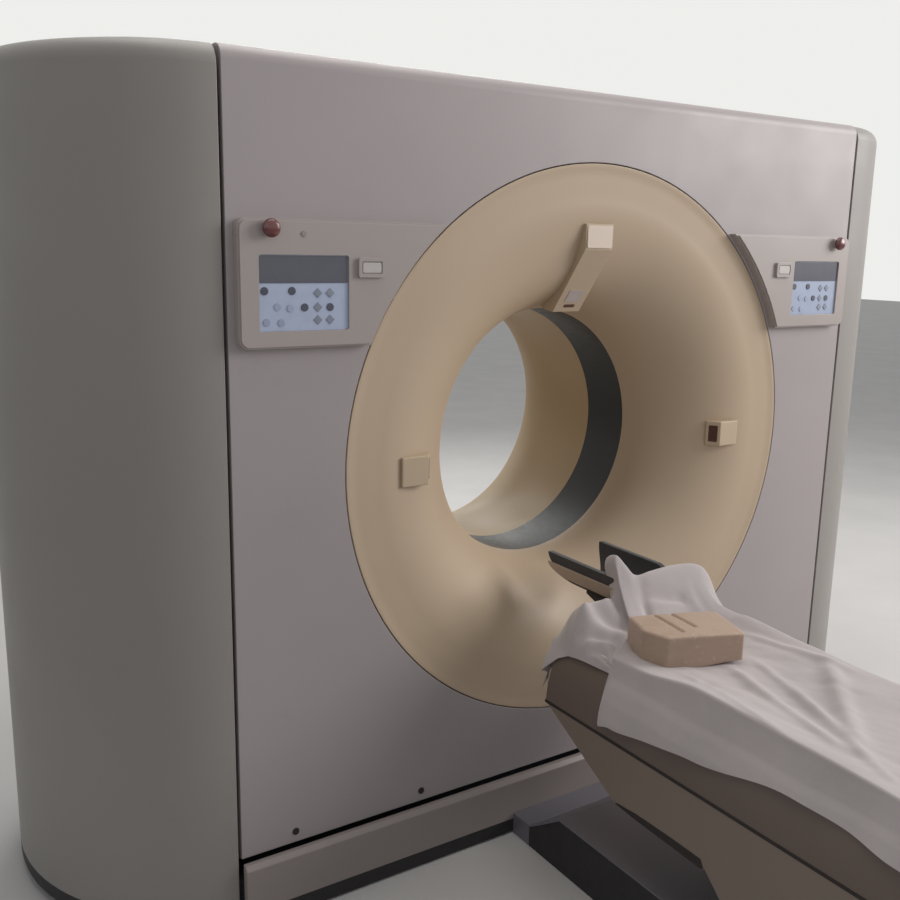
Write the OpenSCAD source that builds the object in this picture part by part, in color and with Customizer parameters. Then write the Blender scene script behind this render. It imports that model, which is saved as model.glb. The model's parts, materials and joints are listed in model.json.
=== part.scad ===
// CT scanner: a tilting gantry on two fixed columns, and a low patient table in front of it.
// The origin is on the floor below the isocentre. +X is to the right, +Y runs from the table
// into the bore, +Z is up. The gantry tilts about the X axis through the isocentre.

/* [Gantry] */
// Height of the bore axis above the floor
axis_h = 1035; // [1000:5:1080]
// Diameter of the patient bore
bore_d = 700; // [660:5:720]
// Distance from the scan plane to the front face
front_depth = 343; // [335:1:350]
// Distance from the scan plane to the rear face
rear_depth = 597; // [585:1:610]
// Width of the tilting centre section
centre_w = 1982; // [1960:2:2040]
// Height of the face above the funnel's rim
brow_h = 173; // [160:1:190]
// Radius of the top edges of the centre section
edge_r = 32; // [20:1:45]
// Clearance under the round belly of the centre section
belly_gap = 100; // [95:1:110]
// Wall of the moulded covers
cover_t = 5; // [4:0.5:7]
// Depth of the front and rear covers
cover_depth = 140; // [110:5:150]
// Seam between two covers
seam = 3; // [2:0.5:4]

/* [Funnels] */
// Radius of the front funnel at its rim
funnel_r = 722; // [715:1:730]
// Radius at which the funnel starts to curve inwards
trumpet_r = 640; // [625:1:650]
// Depth of the flat rim behind the front face
rim_depth = 8; // [4:1:12]
// Radius of the rear funnel at the rear face
rear_funnel_r = 610; // [580:5:640]
// Length of the straight sleeve behind the scan window
sleeve_len = 220; // [210:5:240]
// Width of the scan window
window_w = 157; // [140:1:165]
// Wall of the scan window
window_t = 3; // [2:0.5:4]

/* [Fixed columns] */
// Running gap between the centre section and a column
column_gap = 8; // [6:1:12]
// How far a column stands out to the side
column_a = 385; // [370:5:400]
// Half depth of a column at the gap
column_b = 470; // [465:1:475]
// Radius of a column's plan where it meets the gap
column_r = 300; // [290:5:330]
// Rounding of the top edge of a column
column_round = 45; // [30:5:60]
// Wall of a column cover
column_t = 6; // [5:0.5:8]
// Height of the dark toe kick under a column
toe_h = 25; // [20:1:35]
// Height of the front skirt
skirt_h = 157; // [140:1:160]
// How far the front skirt stands in front of the face
skirt_out = 30; // [25:1:40]
// Height of the rear skirt
rear_skirt_h = 285; // [260:5:290]

/* [Tilt drive] */
// Radius of a trunnion shaft
trunnion_r = 60; // [50:1:65]
// Teeth of a whole tilt gear, of which a sector is used
gear_teeth = 100; // [96:2:104]
// Teeth of the tilt pinion
pinion_teeth = 12; // [12:1:14]
// Module of the tilt gear
gear_module = 6; // [6:0.1:6.3]
// Width of the tilt gear
gear_w = 20; // [16:1:22]

/* [Rotor] */
// Outer radius of the rotor drum
drum_r = 790; // [780:1:800]
// Inner radius of the rotor drum
drum_bore_r = 400; // [390:1:410]
// Thickness of the rotor drum
drum_t = 30; // [24:1:32]
// Distance from the scan plane to the front of the drum
drum_y = 110; // [105:1:115]
// Distance from the focal spot to the bore axis
focus_r = 570; // [560:1:580]
// Distance from the focal spot to the detector
detector_reach = 1040; // [1030:1:1050]
// Radius between the two rings of the main bearing
bearing_r = 520; // [510:1:530]
// Radial clearance of running fits
run_fit = 0.05; // [0.03:0.01:0.08]
// Radius of the motor pulley
pulley_r = 60; // [50:1:65]
// Width of the drive belt
belt_w = 24; // [20:1:28]
// Thickness of the drive belt
belt_t = 4; // [3:0.5:5]

/* [Control panels] */
// Height of the top edge of a control panel above the floor
panel_top = 1597; // [1590:1:1605]
// Height of a control panel
panel_h = 265; // [255:1:275]
// Distance of the outer edge of a control panel from the middle
panel_x = 975; // [970:1:980]
// How far a control panel stands proud
panel_t = 25; // [20:1:30]
// Width of the display
display_w = 204; // [190:1:215]
// Height of the display
display_h = 157; // [145:1:165]
// Radius of the stop button's head
stop_r = 19; // [16:1:22]
// Travel of the stop button
stop_travel = 4; // [3:0.5:6]

/* [Patient table] */
// Height of the cradle's edge above the floor
cradle_h = 612; // [605:1:620]
// Half width of the cradle
cradle_x = 215; // [205:1:220]
// Length of the cradle
cradle_len = 2200; // [2100:10:2250]
// Distance from the scan plane to the head end of the cradle
cradle_y = 505; // [500:1:512]
// Depth of the hollow in the cradle
cradle_dip = 26; // [18:1:30]
// Half width of the table's covers
table_x = 270; // [265:1:280]
// Height of the seam between the upper and the lower table cover
table_seam_h = 455; // [450:1:460]
// Distance from the scan plane to the tip of the table's covers
table_y = 527; // [525:1:535]
// Length of the table's covers
table_len = 2150; // [2100:10:2200]
// Half width of the plinth on the floor
plinth_x = 240; // [230:1:250]
// Height of the plinth
plinth_h = 140; // [130:1:145]
// How far the lift raises the table from the height shown
lift_up = 420; // [380:5:420]

/* [Hidden] */
$fn = 96;

bore_r = bore_d / 2;
half_w = centre_w / 2;
column_x = half_w + column_gap;
gantry_h = axis_h + funnel_r + brow_h;
belly_r = axis_h - belly_gap;       // about the tilt axis
top_z = gantry_h - axis_h;
whole = 2 * gantry_h;               // more than the gantry's extent, for cuts
window_y = window_w / 2;
hug = 0.3;                          // gap between soft or curved faces of different pieces
bolt_r = 9;                         // floor anchor hole
anchor_x = 1160;                    // gantry anchors, half spacing across
anchor_y = 230;                     // gantry anchors, half spacing along the bore
plate_t = 20;                       // floor plates of the gantry base
cross_h = 60;                       // cross members of the gantry base
cross_w = 80;
cross_front_y = -230;
cross_rear_y = 400;
base_x = [column_x + 14, column_x + 310];
base_y = [-320, 520];
pedestal_x = [column_x + 13, column_x + 93];
pedestal_foot = 260;                // half depth of a pedestal at the floor
pedestal_head = 110;                // radius of its head
seat_r = 95;                        // bore of a pedestal for its bearing
frame_x = half_w - cover_t;         // inner face of the covers' side walls
rail_w = 60;
plate_y = [225, 265];               // the stator's ring plate
rail_low = 700;                     // depth of the lower rails below the axis
arm_x = drum_r + 70;                // inner face of the arms that carry the trunnions
arm_h = 110;
shaft_end_x = column_x + 155;
gear_x = [column_x + 121, column_x + 121 + gear_w];
gear_r = gear_module * gear_teeth / 2;
pinion_r = gear_module * pinion_teeth / 2;
pinion_z = -gear_r - pinion_r;
hub_r = 440;                        // seat of the bearing's inner ring
drum_rear = drum_y + drum_t;
motor_x = frame_x - rail_w - 126;
motor_z = -600;
groove_y = drum_y + (drum_t - belt_w) / 2;
belt_gap = 0.8;

// Rounded rectangle with its corner at the origin
module round_rect(w, h, r) {
    translate([r, 0]) square([w - 2 * r, h]);
    translate([0, r]) square([w, h - 2 * r]);
    for (x = [r, w - r], z = [r, h - r]) translate([x, z]) circle(r, $fn = 48);
}

// Places its children at the isocentre
module at_axis() { translate([0, 0, axis_h]) children(); }

// A profile drawn in X and Z, from y0 to y1
module slab(y0, y1) {
    translate([0, y1, 0]) rotate([90, 0, 0]) linear_extrude(y1 - y0) children();
}

// A profile drawn in Y and Z, from x0 to x1
module bar(x0, x1) {
    translate([x0, 0, 0]) rotate([90, 0, 90]) linear_extrude(x1 - x0) children();
}

// A profile drawn as radius and Y, turned about the Y axis
module turned() { rotate([-90, 0, 0]) rotate_extrude($fn = 128) children(); }

// A cylinder along Y
module rod_y(r, y0, y1) { translate([0, y1, 0]) rotate([90, 0, 0]) cylinder(r = r, h = y1 - y0); }

// A cylinder along X
module rod_x(r, x0, x1) { translate([x0, 0, 0]) rotate([0, 90, 0]) cylinder(r = r, h = x1 - x0); }

// A box between two corners
module block(a, b) { translate(a) cube(b - a); }

// A left piece from a right one
module left_hand() { mirror([1, 0, 0]) children(); }

// Side view of the tilting centre section, about the tilt axis
module centre_outline(inset = 0) {
    r = edge_r - inset;
    y0 = -front_depth + inset;
    y1 = rear_depth - inset;
    z1 = top_z - inset;
    translate([y0, 0]) square([y1 - y0, z1 - r]);
    translate([y0 + r, 0]) square([y1 - y0 - 2 * r, z1]);
    for (y = [y0 + r, y1 - r]) translate([y, z1 - r]) circle(r, $fn = 48);
    intersection() {
        circle(belly_r - inset, $fn = 256);
        translate([y0, -belly_r]) square([y1 - y0, belly_r + 1]);
    }
}

// The hollow shell that the four covers are cut from
module centre_shell() {
    difference() {
        bar(-half_w, half_w) centre_outline();
        bar(-half_w + cover_t, half_w - cover_t) centre_outline(cover_t);
    }
}

// The quarter ellipse of the funnel's mouth, as radius and Y, a wall w behind the face
function trumpet(w, n = 14) = [for (i = [0:n]) let (t = 90 * i / n)
    [trumpet_r - (trumpet_r - bore_r - w) * cos(t),
        -window_y - (front_depth - rim_depth - window_y - w) * sin(t)]];

module front_funnel_profile() {
    face = trumpet(0);
    back = trumpet(cover_t);
    n = len(back);
    lip = -front_depth + cover_t;
    polygon(concat([[bore_r + cover_t, -window_y], [bore_r, -window_y]], [for (i = [1:n - 1]) face[i]],
        [[funnel_r - 16, -front_depth + 4], [funnel_r - 4, -front_depth], [funnel_r, -front_depth],
            [funnel_r, lip], [funnel_r + 22, lip], [funnel_r + 22, lip + cover_t],
            [funnel_r - cover_t, lip + cover_t]],
        [for (i = [1:n - 1]) back[n - i]]));
}

// Everything behind the funnel's face, for cutting what stands on it
module behind_funnel_face() {
    face = trumpet(0);
    turned() polygon(concat(face, [[funnel_r, -front_depth + rim_depth], [funnel_r, 0], [bore_r, 0]]));
}

// The plan of a column is three arcs, tangent to each other: a nose and two shoulders
column_mid = column_b - front_depth;
shoulder_y = column_b - column_r;
nose_r = (column_a * column_a + shoulder_y * shoulder_y - column_r * column_r) / (2 * (column_a - column_r));
nose_x = column_a - nose_r;
nose_angle = atan2(shoulder_y, -nose_x);

// The zones of the plan that the arcs fill meet along a ray from each shoulder's centre
zone_end = [2 * column_b * cos(nose_angle), shoulder_y + 2 * column_b * sin(nose_angle)];
nose_zone = [[-20, -shoulder_y], [0, -shoulder_y], [zone_end[0], -zone_end[1]], zone_end,
    [0, shoulder_y], [-20, shoulder_y]];
shoulder_zone = [[-20, shoulder_y], [0, shoulder_y], zone_end, [-20, zone_end[1]]];

// Plan of a column drawn in by d, with its flat side at x = d0
module column_plan(d, d0 = 0) {
    intersection() {
        union() {
            intersection() {
                translate([nose_x, 0]) circle(nose_r - d, $fn = 256);
                polygon(nose_zone);
            }
            for (m = [0, 1]) mirror([0, m]) intersection() {
                translate([0, shoulder_y]) circle(column_r - d, $fn = 256);
                polygon(shoulder_zone);
            }
        }
        translate([d0, -column_b]) square([column_a + 1, 2 * column_b]);
    }
}

// Section of a column's wall, r out to its face, rounded at the top
module column_profile(r, z0, z1, round_r) {
    translate([0, z0]) square([r, z1 - z0 - round_r]);
    translate([0, z0]) square([r - round_r, z1 - z0]);
    translate([r - round_r, z1 - round_r]) circle(round_r, $fn = 48);
}

// The solid of a column drawn in by d, its flat side at x = d0
module column_solid(d, d0, z0, z1, round_r) {
    tall = z1 - z0 + 2;
    intersection() {
        union() {
            intersection() {
                translate([nose_x, 0, 0]) rotate_extrude($fn = 256) column_profile(nose_r - d, z0, z1, round_r);
                translate([0, 0, z0 - 1]) linear_extrude(tall) polygon(nose_zone);
            }
            for (m = [0, 1]) mirror([0, m, 0]) intersection() {
                translate([0, shoulder_y, 0]) rotate_extrude($fn = 256)
                    column_profile(column_r - d, z0, z1, round_r);
                translate([0, 0, z0 - 1]) linear_extrude(tall) polygon(shoulder_zone);
            }
        }
        block([d0, -column_b, z0 - 1], [column_a + 1, column_b, z1 + 1]);
    }
}

module side_cover() {
    difference() {
        translate([column_x, column_mid, 0]) column_solid(0, 0, toe_h, gantry_h, column_round);
        translate([column_x, column_mid, 0])
            column_solid(column_t, column_t, toe_h - 10, gantry_h - column_t, column_round - column_t);
        at_axis() rod_x(pedestal_head + 30, column_x - 5, column_x + 2 * column_t);
        for (y = [cross_front_y, cross_rear_y])
            block([column_x - 5, y - cross_w / 2, -1], [column_x + 2 * column_t, y + cross_w / 2, cross_h]);
    }
}

module pedestal() {
    inner = pedestal_x[0];
    outer = pedestal_x[1];
    difference() {
        union() {
            bar(inner, outer) polygon([[-pedestal_foot, plate_t], [pedestal_foot, plate_t],
                [pedestal_head, axis_h], [-pedestal_head, axis_h]]);
            at_axis() rod_x(pedestal_head, inner, outer);
        }
        at_axis() rod_x(seat_r, inner - 1, outer + 1);
        bar(inner - 1, outer + 1) polygon([[-170, 120], [170, 120], [100, 560], [-100, 560]]);
        bar(inner + 8, outer - 8) polygon([[-235, 28], [235, 28], [118, axis_h - 130],
            [-118, axis_h - 130]]);
    }
}

module trunnion_bearing() {
    inner = pedestal_x[0];
    outer = pedestal_x[1];
    at_axis() difference() {
        union() {
            rod_x(seat_r, inner, outer);
            rod_x(pedestal_head + 18, outer, outer + 14);
        }
        rod_x(trunnion_r + run_fit, inner - 1, outer + 20);
        for (a = [0:60:300]) rotate([a, 0, 0]) translate([0, 112, 0]) rod_x(7, outer - 1, outer + 20);
    }
}

module toe_kick() {
    inset = 30;
    t = 10;
    translate([column_x, column_mid, 0]) {
        linear_extrude(toe_h) difference() {
            column_plan(inset);
            column_plan(inset + t, -1);
        }
        translate([0, 0, toe_h - 6]) linear_extrude(6) difference() {
            column_plan(2);
            column_plan(inset + t, -1);
        }
    }
}

module gantry_base_frame() {
    color("dimgray") {
        difference() {
            union() {
                for (s = [0, 1]) mirror([s, 0, 0]) intersection() {
                    block([base_x[0], base_y[0], 0], [base_x[1], base_y[1], plate_t]);
                    translate([column_x, column_mid, 0]) linear_extrude(plate_t) column_plan(45);
                }
                for (y = [cross_front_y, cross_rear_y]) {
                    w = cross_w / 2;
                    block([-base_x[0] - 10, y - w, 0], [base_x[0] + 10, y + w, plate_t]);
                    block([1 - pedestal_x[0], y - w, 0], [pedestal_x[0] - 1, y + w, cross_h]);
                }
            }
            for (x = [-anchor_x, anchor_x], y = [-anchor_y, anchor_y])
                translate([x, y, -1]) cylinder(r = bolt_r, h = plate_t + 2);
        }
    }
}

module left_pedestal() { color("slategray") left_hand() pedestal(); }
module right_pedestal() { color("slategray") pedestal(); }
module trunnion_bearings() {
    color("silver") {
        trunnion_bearing();
        left_hand() trunnion_bearing();
    }
}
module left_side_cover() { color([0.72, 0.69, 0.70]) left_hand() side_cover(); }
module right_side_cover() { color([0.72, 0.69, 0.70]) side_cover(); }
module toe_kicks() {
    color([0.12, 0.12, 0.14]) {
        toe_kick();
        left_hand() toe_kick();
    }
}

// A kick panel: upright plate, ledge on top, and brackets back to the cross member
module skirt(y_out, y_in, h, y_seat) {
    s = y_out < y_in ? 1 : -1;
    t = 6;
    bar(-half_w, half_w) polygon([[y_out, 4], [y_out, h - 10], [y_out + s * 10, h], [y_in, h],
        [y_in, h - t], [y_out + s * 13, h - t], [y_out + s * t, h - 13], [y_out + s * t, 4]]);
    for (x = [-720, 0, 720])
        block([x - 25, min(y_out + s * t, y_seat), 16], [x + 25, max(y_out + s * t, y_seat), 46]);
}

module front_skirt() {
    color([0.74, 0.72, 0.74]) skirt(-front_depth - skirt_out, -front_depth - 7, skirt_h,
        cross_front_y - cross_w / 2);
}
module rear_skirt() {
    color([0.74, 0.72, 0.74]) skirt(rear_depth + 30, rear_depth + 7, rear_skirt_h,
        cross_rear_y + cross_w / 2);
}

// Teeth of a gear about the origin as one outline, the first one at the angle a0 from +Z
function teeth_pts(teeth, m, count, a0) = let (r = m * teeth / 2, root = r - 1.05 * m, tip = r + 0.7 * m,
        pts = [[0.82 * m, root], [0.70 * m, r - 0.2 * m], [0.42 * m, tip], [-0.42 * m, tip],
            [-0.70 * m, r - 0.2 * m], [-0.82 * m, root]])
    [for (i = [0:count - 1], p = pts) let (a = a0 + 360 * i / teeth)
        [p[0] * cos(a) - p[1] * sin(a), p[0] * sin(a) + p[1] * cos(a)]];

// The gear motor hangs on a bracket from the right pedestal, below the sector gear
module tilt_gear_motor() {
    foot = pedestal_x[1];
    plate = gear_x[1] + 5;
    color("darkslategray") at_axis() {
        difference() {
            union() {
                block([foot, -70, pinion_z - 100], [plate + 12, 70, pinion_z - 60]);
                block([plate, -70, pinion_z - 100], [plate + 12, 70, pinion_z + 70]);
                translate([0, 0, pinion_z]) rod_x(62, plate + 12, plate + 150);
                translate([0, 0, pinion_z]) rod_x(50, plate + 150, plate + 190);
            }
            translate([0, 0, pinion_z]) rod_x(14 + run_fit, plate - 1, plate + 60);
        }
    }
}

module tilt_pinion() {
    plate = gear_x[1] + 5;
    color("silver") at_axis() translate([0, 0, pinion_z]) {
        bar(gear_x[0], gear_x[1]) polygon(teeth_pts(pinion_teeth, gear_module, pinion_teeth, 0));
        rod_x(14, gear_x[1] - 1, plate + 55);
    }
}

// Sector of the tilt gear on the right trunnion shaft, with a window between its two spokes
module tilt_sector_gear() {
    count = 28;
    half = 180 * count / gear_teeth;
    hub = trunnion_r + 35;
    rim = gear_r - 50;
    open = half - 14;
    color("slategray") at_axis() difference() {
        bar(gear_x[0], gear_x[1]) difference() {
            union() {
                polygon(concat([[0, 20]], teeth_pts(gear_teeth, gear_module, count, 180 - half + 180 / gear_teeth)));
                circle(hub);
            }
            circle(trunnion_r);
            difference() {
                intersection() {
                    circle(rim);
                    polygon([[0, 20], [-rim * tan(open), 20 - rim], [-rim * tan(open), -rim],
                        [rim * tan(open), -rim], [rim * tan(open), 20 - rim]]);
                }
                circle(hub + 12);
            }
        }
        for (a = [30:60:330]) rotate([a, 0, 0]) translate([0, trunnion_r + 20, 0])
            rod_x(5, gear_x[0] - 1, gear_x[1] + 1);
    }
}

// Low duct between the front skirt and the plinth of the table
duct_h = 58;
plinth_y = 443;                     // front end of the plinth, in front of the scan plane
plinth_rise = 120;                  // length of the sloped front end
plinth_len = 2200;
plinth_t = 4;
module floor_duct() {
    color([0.70, 0.69, 0.71]) difference() {
        block([-plinth_x, -plinth_y, 0], [plinth_x, -front_depth - skirt_out, duct_h]);
        block([-plinth_x + 4, -plinth_y - 1, -1], [plinth_x - 4, -front_depth - skirt_out + 1, duct_h - 4]);
    }
}

shroud_y = [-1230, -2480];          // the telescopic shroud around the lift columns
shroud_x = 205;
shroud_t = 3;
shroud_step = 5;
plinth_end = -plinth_y - plinth_len;
plinth_slope = -plinth_y - plinth_rise;

// Dark side walls and ends of the plinth, below its lid
module plinth_cover() {
    t = plinth_t;
    top = plinth_h - t;
    color([0.10, 0.10, 0.12]) difference() {
        bar(-plinth_x, plinth_x) polygon([[-plinth_y, 0], [-plinth_y, duct_h - t - 1],
            [plinth_slope - 1, top], [plinth_end, top], [plinth_end, 0]]);
        block([-plinth_x + t, plinth_end + t, -1], [plinth_x - t, -plinth_y - t, plinth_h]);
    }
}

// The light lid of the plinth: a slope at the front and a flat top, open around the shroud
module plinth_top() {
    t = plinth_t;
    open_x = shroud_x - 12;
    color([0.70, 0.69, 0.72]) difference() {
        bar(-plinth_x, plinth_x) polygon([[-plinth_y, duct_h], [plinth_slope, plinth_h], [plinth_end, plinth_h],
            [plinth_end, plinth_h - t], [plinth_slope - 1, plinth_h - t], [-plinth_y, duct_h - t - 1]]);
        block([-open_x, shroud_y[1] + 12, 0], [open_x, shroud_y[0] - 12, plinth_h + 1]);
    }
}

table_bolt_x = 180;
table_bolt_y = 500;
table_mid = -1855;                  // middle of the floor plate of the table
column_ys = [-1500, -2210];
column_w = 180;
column_d = 150;
column_wall = 6;
column_fit = 0.5;
module table_base_plate() {
    x = plinth_x - plinth_t;
    color("dimgray") difference() {
        block([-x, table_mid - 620, 0], [x, table_mid + 620, 15]);
        for (sx = [-1, 1], sy = [-1, 1]) translate([sx * table_bolt_x, table_mid + sy * table_bolt_y, -1])
            cylinder(r = bolt_r, h = 20);
    }
}

// One stage of both telescopic lift columns, k steps in from the outermost
module lift_stage(k, z0, z1) {
    w = column_w - 2 * k * (column_wall + column_fit);
    d = column_d - 2 * k * (column_wall + column_fit);
    for (y = column_ys) translate([0, y, 0]) difference() {
        block([-w / 2, -d / 2, z0], [w / 2, d / 2, z1]);
        if (k < 2)
            block([-w / 2 + column_wall, -d / 2 + column_wall, z0 - 1],
                [w / 2 - column_wall, d / 2 - column_wall, z1 + 1]);
        else
            block([-w / 2 + column_wall, -d / 2 + column_wall, z0 - 1],
                [w / 2 - column_wall, d / 2 - column_wall, z1 - 12]);
    }
}

outer_top = 360;
frame_z = cradle_h - 172;           // underside of the table's frame
frame_t = 50;
module lift_columns_outer() {
    color("gray") {
        lift_stage(0, 15, outer_top);
        for (y = column_ys) block([-column_w / 2 - 30, y - 60, 15], [-column_w / 2, y + 60, 130]);
    }
}
arm_z = [405, 411];                 // arms from the middle columns out to the middle shroud
module lift_columns_middle() {
    reach = shroud_x + shroud_step - shroud_t;
    wall_x = column_w / 2 - column_wall - column_fit;
    color("silver") {
        lift_stage(1, 50, arm_z[1]);
        for (s = [-1, 1], y = column_ys) {
            x0 = s > 0 ? wall_x - 1 : -reach;
            block([x0, y - 30, arm_z[0]], [x0 + reach - wall_x + 1, y + 30, arm_z[1]]);
        }
    }
}
module lift_columns_inner() { color("silver") lift_stage(2, 85, frame_z); }

// One stage of the shroud, k steps out from the innermost
module shroud_stage(k, z0, z1) {
    g = k * shroud_step;
    difference() {
        block([-shroud_x - g, shroud_y[1] - g, z0], [shroud_x + g, shroud_y[0] + g, z1]);
        block([-shroud_x - g + shroud_t, shroud_y[1] - g + shroud_t, z0 - 1],
            [shroud_x + g - shroud_t, shroud_y[0] + g - shroud_t, z1 + 1]);
    }
}
module lift_shroud_fixed() { color("darkgray") shroud_stage(0, plinth_h, arm_z[0] - 20); }
module lift_shroud_middle() { color("darkgray") shroud_stage(1, plinth_h + 18, arm_z[1]); }

// The frame that tilts: ring plate, arms forward to the trunnions, rails that carry the covers
module stator_frame() {
    inner_front = -front_depth + cover_t;
    inner_rear = rear_depth - cover_t;
    color("slategray") at_axis() {
        difference() {
            union() {
                slab(plate_y[0], plate_y[1]) translate([-frame_x + 1, -rail_low])
                    square([2 * frame_x - 2, rail_low + top_z - cover_t - rail_w + 20]);
                for (s = [-1, 1]) {
                    xa = s > 0 ? arm_x : -frame_x + rail_w;
                    block([xa, -arm_h, -arm_h], [xa + frame_x - rail_w - arm_x, plate_y[0] + 1, arm_h]);
                    xr = s > 0 ? frame_x - rail_w : -frame_x;
                    block([xr, inner_front, -rail_low], [xr + rail_w, inner_rear, rail_w - rail_low]);
                    bar(xr, xr + rail_w) polygon([[inner_front, top_z - cover_t - rail_w],
                        [inner_rear, top_z - cover_t - rail_w], [inner_rear, top_z - edge_r],
                        [inner_rear - edge_r + cover_t, top_z - cover_t],
                        [inner_front + edge_r - cover_t, top_z - cover_t], [inner_front, top_z - edge_r]]);
                }
            }
            slab(plate_y[0] - 1, plate_y[1] + 1) circle(bearing_r + 40, $fn = 128);
            for (s = [-1, 1]) slab(plate_y[0] - 1, plate_y[1] + 1) translate([s * 760, 560]) circle(110);
            slab(plate_y[0] - 1, plate_y[1] + 1) translate([motor_x, motor_z]) circle(70);
        }
    }
}

module trunnion_shaft() {
    face = frame_x - rail_w;
    at_axis() {
        rod_x(arm_h - 5, face, face + 22);
        rod_x(trunnion_r, face + 22, shaft_end_x);
    }
}
module trunnion_shafts() {
    color("silver") {
        trunnion_shaft();
        left_hand() trunnion_shaft();
    }
}

cover_split = 600;                  // height above and below the axis where the side walls stop
module front_cover() {
    color([0.74, 0.71, 0.73]) at_axis() difference() {
        intersection() {
            centre_shell();
            block([-whole, -front_depth - 1, -whole], [whole, -front_depth + cover_depth, whole]);
        }
        slab(-front_depth - 1, -front_depth + cover_depth + 1) circle(funnel_r + seam, $fn = 192);
    }
}
module rear_cover() {
    color([0.74, 0.71, 0.73]) at_axis() difference() {
        intersection() {
            centre_shell();
            block([-whole, rear_depth - cover_depth, -whole], [whole, rear_depth + 1, whole]);
        }
        slab(rear_depth - cover_depth - 1, rear_depth + 1) circle(rear_funnel_r + seam, $fn = 192);
    }
}
module top_cover() {
    color([0.76, 0.73, 0.75]) at_axis() difference() {
        intersection() {
            centre_shell();
            block([-whole, -front_depth + cover_depth + seam, cover_split],
                [whole, rear_depth - cover_depth - seam, whole]);
        }
        for (s = [-1, 1], i = [0:7])
            block([s * 520 - 150, 20 + i * 28, top_z - 10], [s * 520 + 150, 32 + i * 28, top_z + 1]);
    }
}
module bottom_cover() {
    color([0.66, 0.64, 0.66]) at_axis() intersection() {
        centre_shell();
        block([-whole, -front_depth + cover_depth + seam, -whole],
            [whole, rear_depth - cover_depth - seam, -cover_split]);
    }
}

module front_funnel() { color([0.80, 0.72, 0.62]) at_axis() turned() front_funnel_profile(); }

module scan_window() {
    color([0.09, 0.10, 0.13]) at_axis() turned()
        polygon([[bore_r, -window_y], [bore_r + window_t, -window_y],
            [bore_r + window_t, window_y], [bore_r, window_y]]);
}

module rear_funnel() {
    y0 = window_y + sleeve_len;
    t = cover_t;
    lip = rear_depth - cover_t;
    reach = rear_funnel_r - bore_r;
    deep = rear_depth - y0;
    n = 8;
    face = [for (i = [0:n]) let (a = 90 * i / n) [bore_r + reach * (1 - cos(a)), y0 + deep * sin(a)]];
    color([0.80, 0.72, 0.62]) at_axis() turned()
        polygon(concat([[bore_r + t, window_y], [bore_r, window_y]], face,
            [[rear_funnel_r, lip], [rear_funnel_r + 22, lip], [rear_funnel_r + 22, lip - t]],
            [for (i = [1:n - 1]) let (p = face[n - i], a = 90 * (n - i) / n)
                [p[0] + t * cos(a), p[1] - t * sin(a)]]));
}

module bearing_outer_ring() {
    color("silver") at_axis() difference() {
        turned() polygon([[bearing_r, 165], [bearing_r + 80, 165], [bearing_r + 80, plate_y[0]],
            [bearing_r, plate_y[0]]]);
        for (a = [0:30:330]) rotate([0, a, 0]) translate([bearing_r + 60, 0, 0]) rod_y(7, 150, 185);
    }
}
module bearing_inner_ring() {
    color("silver") at_axis() turned() polygon([[hub_r, 165], [bearing_r - run_fit, 165],
        [bearing_r - run_fit, 215], [hub_r, 215]]);
}

slip_r = [660, 750];
module slip_ring() {
    n = 6;
    w = (slip_r[1] - slip_r[0]) / n;
    color([0.72, 0.53, 0.25]) at_axis() turned() {
        translate([slip_r[0], drum_rear]) square([slip_r[1] - slip_r[0], 12]);
        for (i = [0:n - 1]) translate([slip_r[0] + i * w + 3, drum_rear + 11]) square([w - 6, 5]);
    }
}
module brush_block() {
    color([0.15, 0.15, 0.17]) at_axis() rotate([0, -52, 0])
        block([slip_r[0] - 5, drum_rear + 16.5, -60], [slip_r[1] + 5, plate_y[0], 60]);
}

module rotor_drum() {
    groove_r = drum_r - belt_t - 2;
    color("lightsteelblue") at_axis() {
        difference() {
            turned() polygon([[drum_bore_r, drum_y], [drum_r, drum_y], [drum_r, groove_y], [groove_r, groove_y],
                [groove_r, groove_y + belt_w], [drum_r, groove_y + belt_w], [drum_r, drum_rear],
                [hub_r, drum_rear], [hub_r, 215], [drum_bore_r, 215]]);
            for (a = [15:45:330]) rotate([0, a, 0]) translate([0, 0, 700]) rod_y(45, drum_y - 1, drum_rear + 30);
        }
    }
}

// The tube lies along the bore, with its window towards the isocentre
tube_r = 105;
module xray_tube() {
    color("lightgray") at_axis() translate([0, 0, focus_r + 30]) {
        difference() {
            turned() polygon([[0, -110], [60, -110], [60, -98], [88, -98], [tube_r, -80], [tube_r, drum_y - 12],
                [tube_r + 14, drum_y - 12], [tube_r + 14, drum_y], [0, drum_y]]);
            rod_y(20, -111, -90);
        }
        block([-60, -45, -tube_r - 14], [60, 45, -80]);
    }
}
module collimator() {
    z1 = focus_r + 30 - tube_r - 14.3;
    color("darkgray") at_axis() difference() {
        block([-75, -55, 425], [75, drum_y, z1]);
        block([-50, -20, 424], [50, 20, z1 + 1]);
    }
}
module high_voltage_tanks() {
    color("steelblue") at_axis() for (a = [58, -58]) rotate([0, a, 0]) {
        block([-125, -70, drum_r - 310], [125, drum_y, drum_r - 90]);
        for (x = [-60, 60]) translate([x, 0, drum_r - 230]) rod_y(26, -100, -70);
    }
}
module tube_cooler() {
    color("gainsboro") at_axis() rotate([0, 29, 0]) difference() {
        block([-80, -60, drum_r - 250], [80, drum_y, drum_r - 50]);
        for (i = [0:5]) block([-65, -61, drum_r - 230 + i * 28], [65, -40, drum_r - 216 + i * 28]);
    }
}
module counterweights() {
    color("dimgray") at_axis() for (a = [95, -95, -29]) rotate([0, a, 0])
        block([-70, 0, drum_r - 230], [70, drum_y, drum_r - 70]);
}
detector_half = 26;
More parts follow.
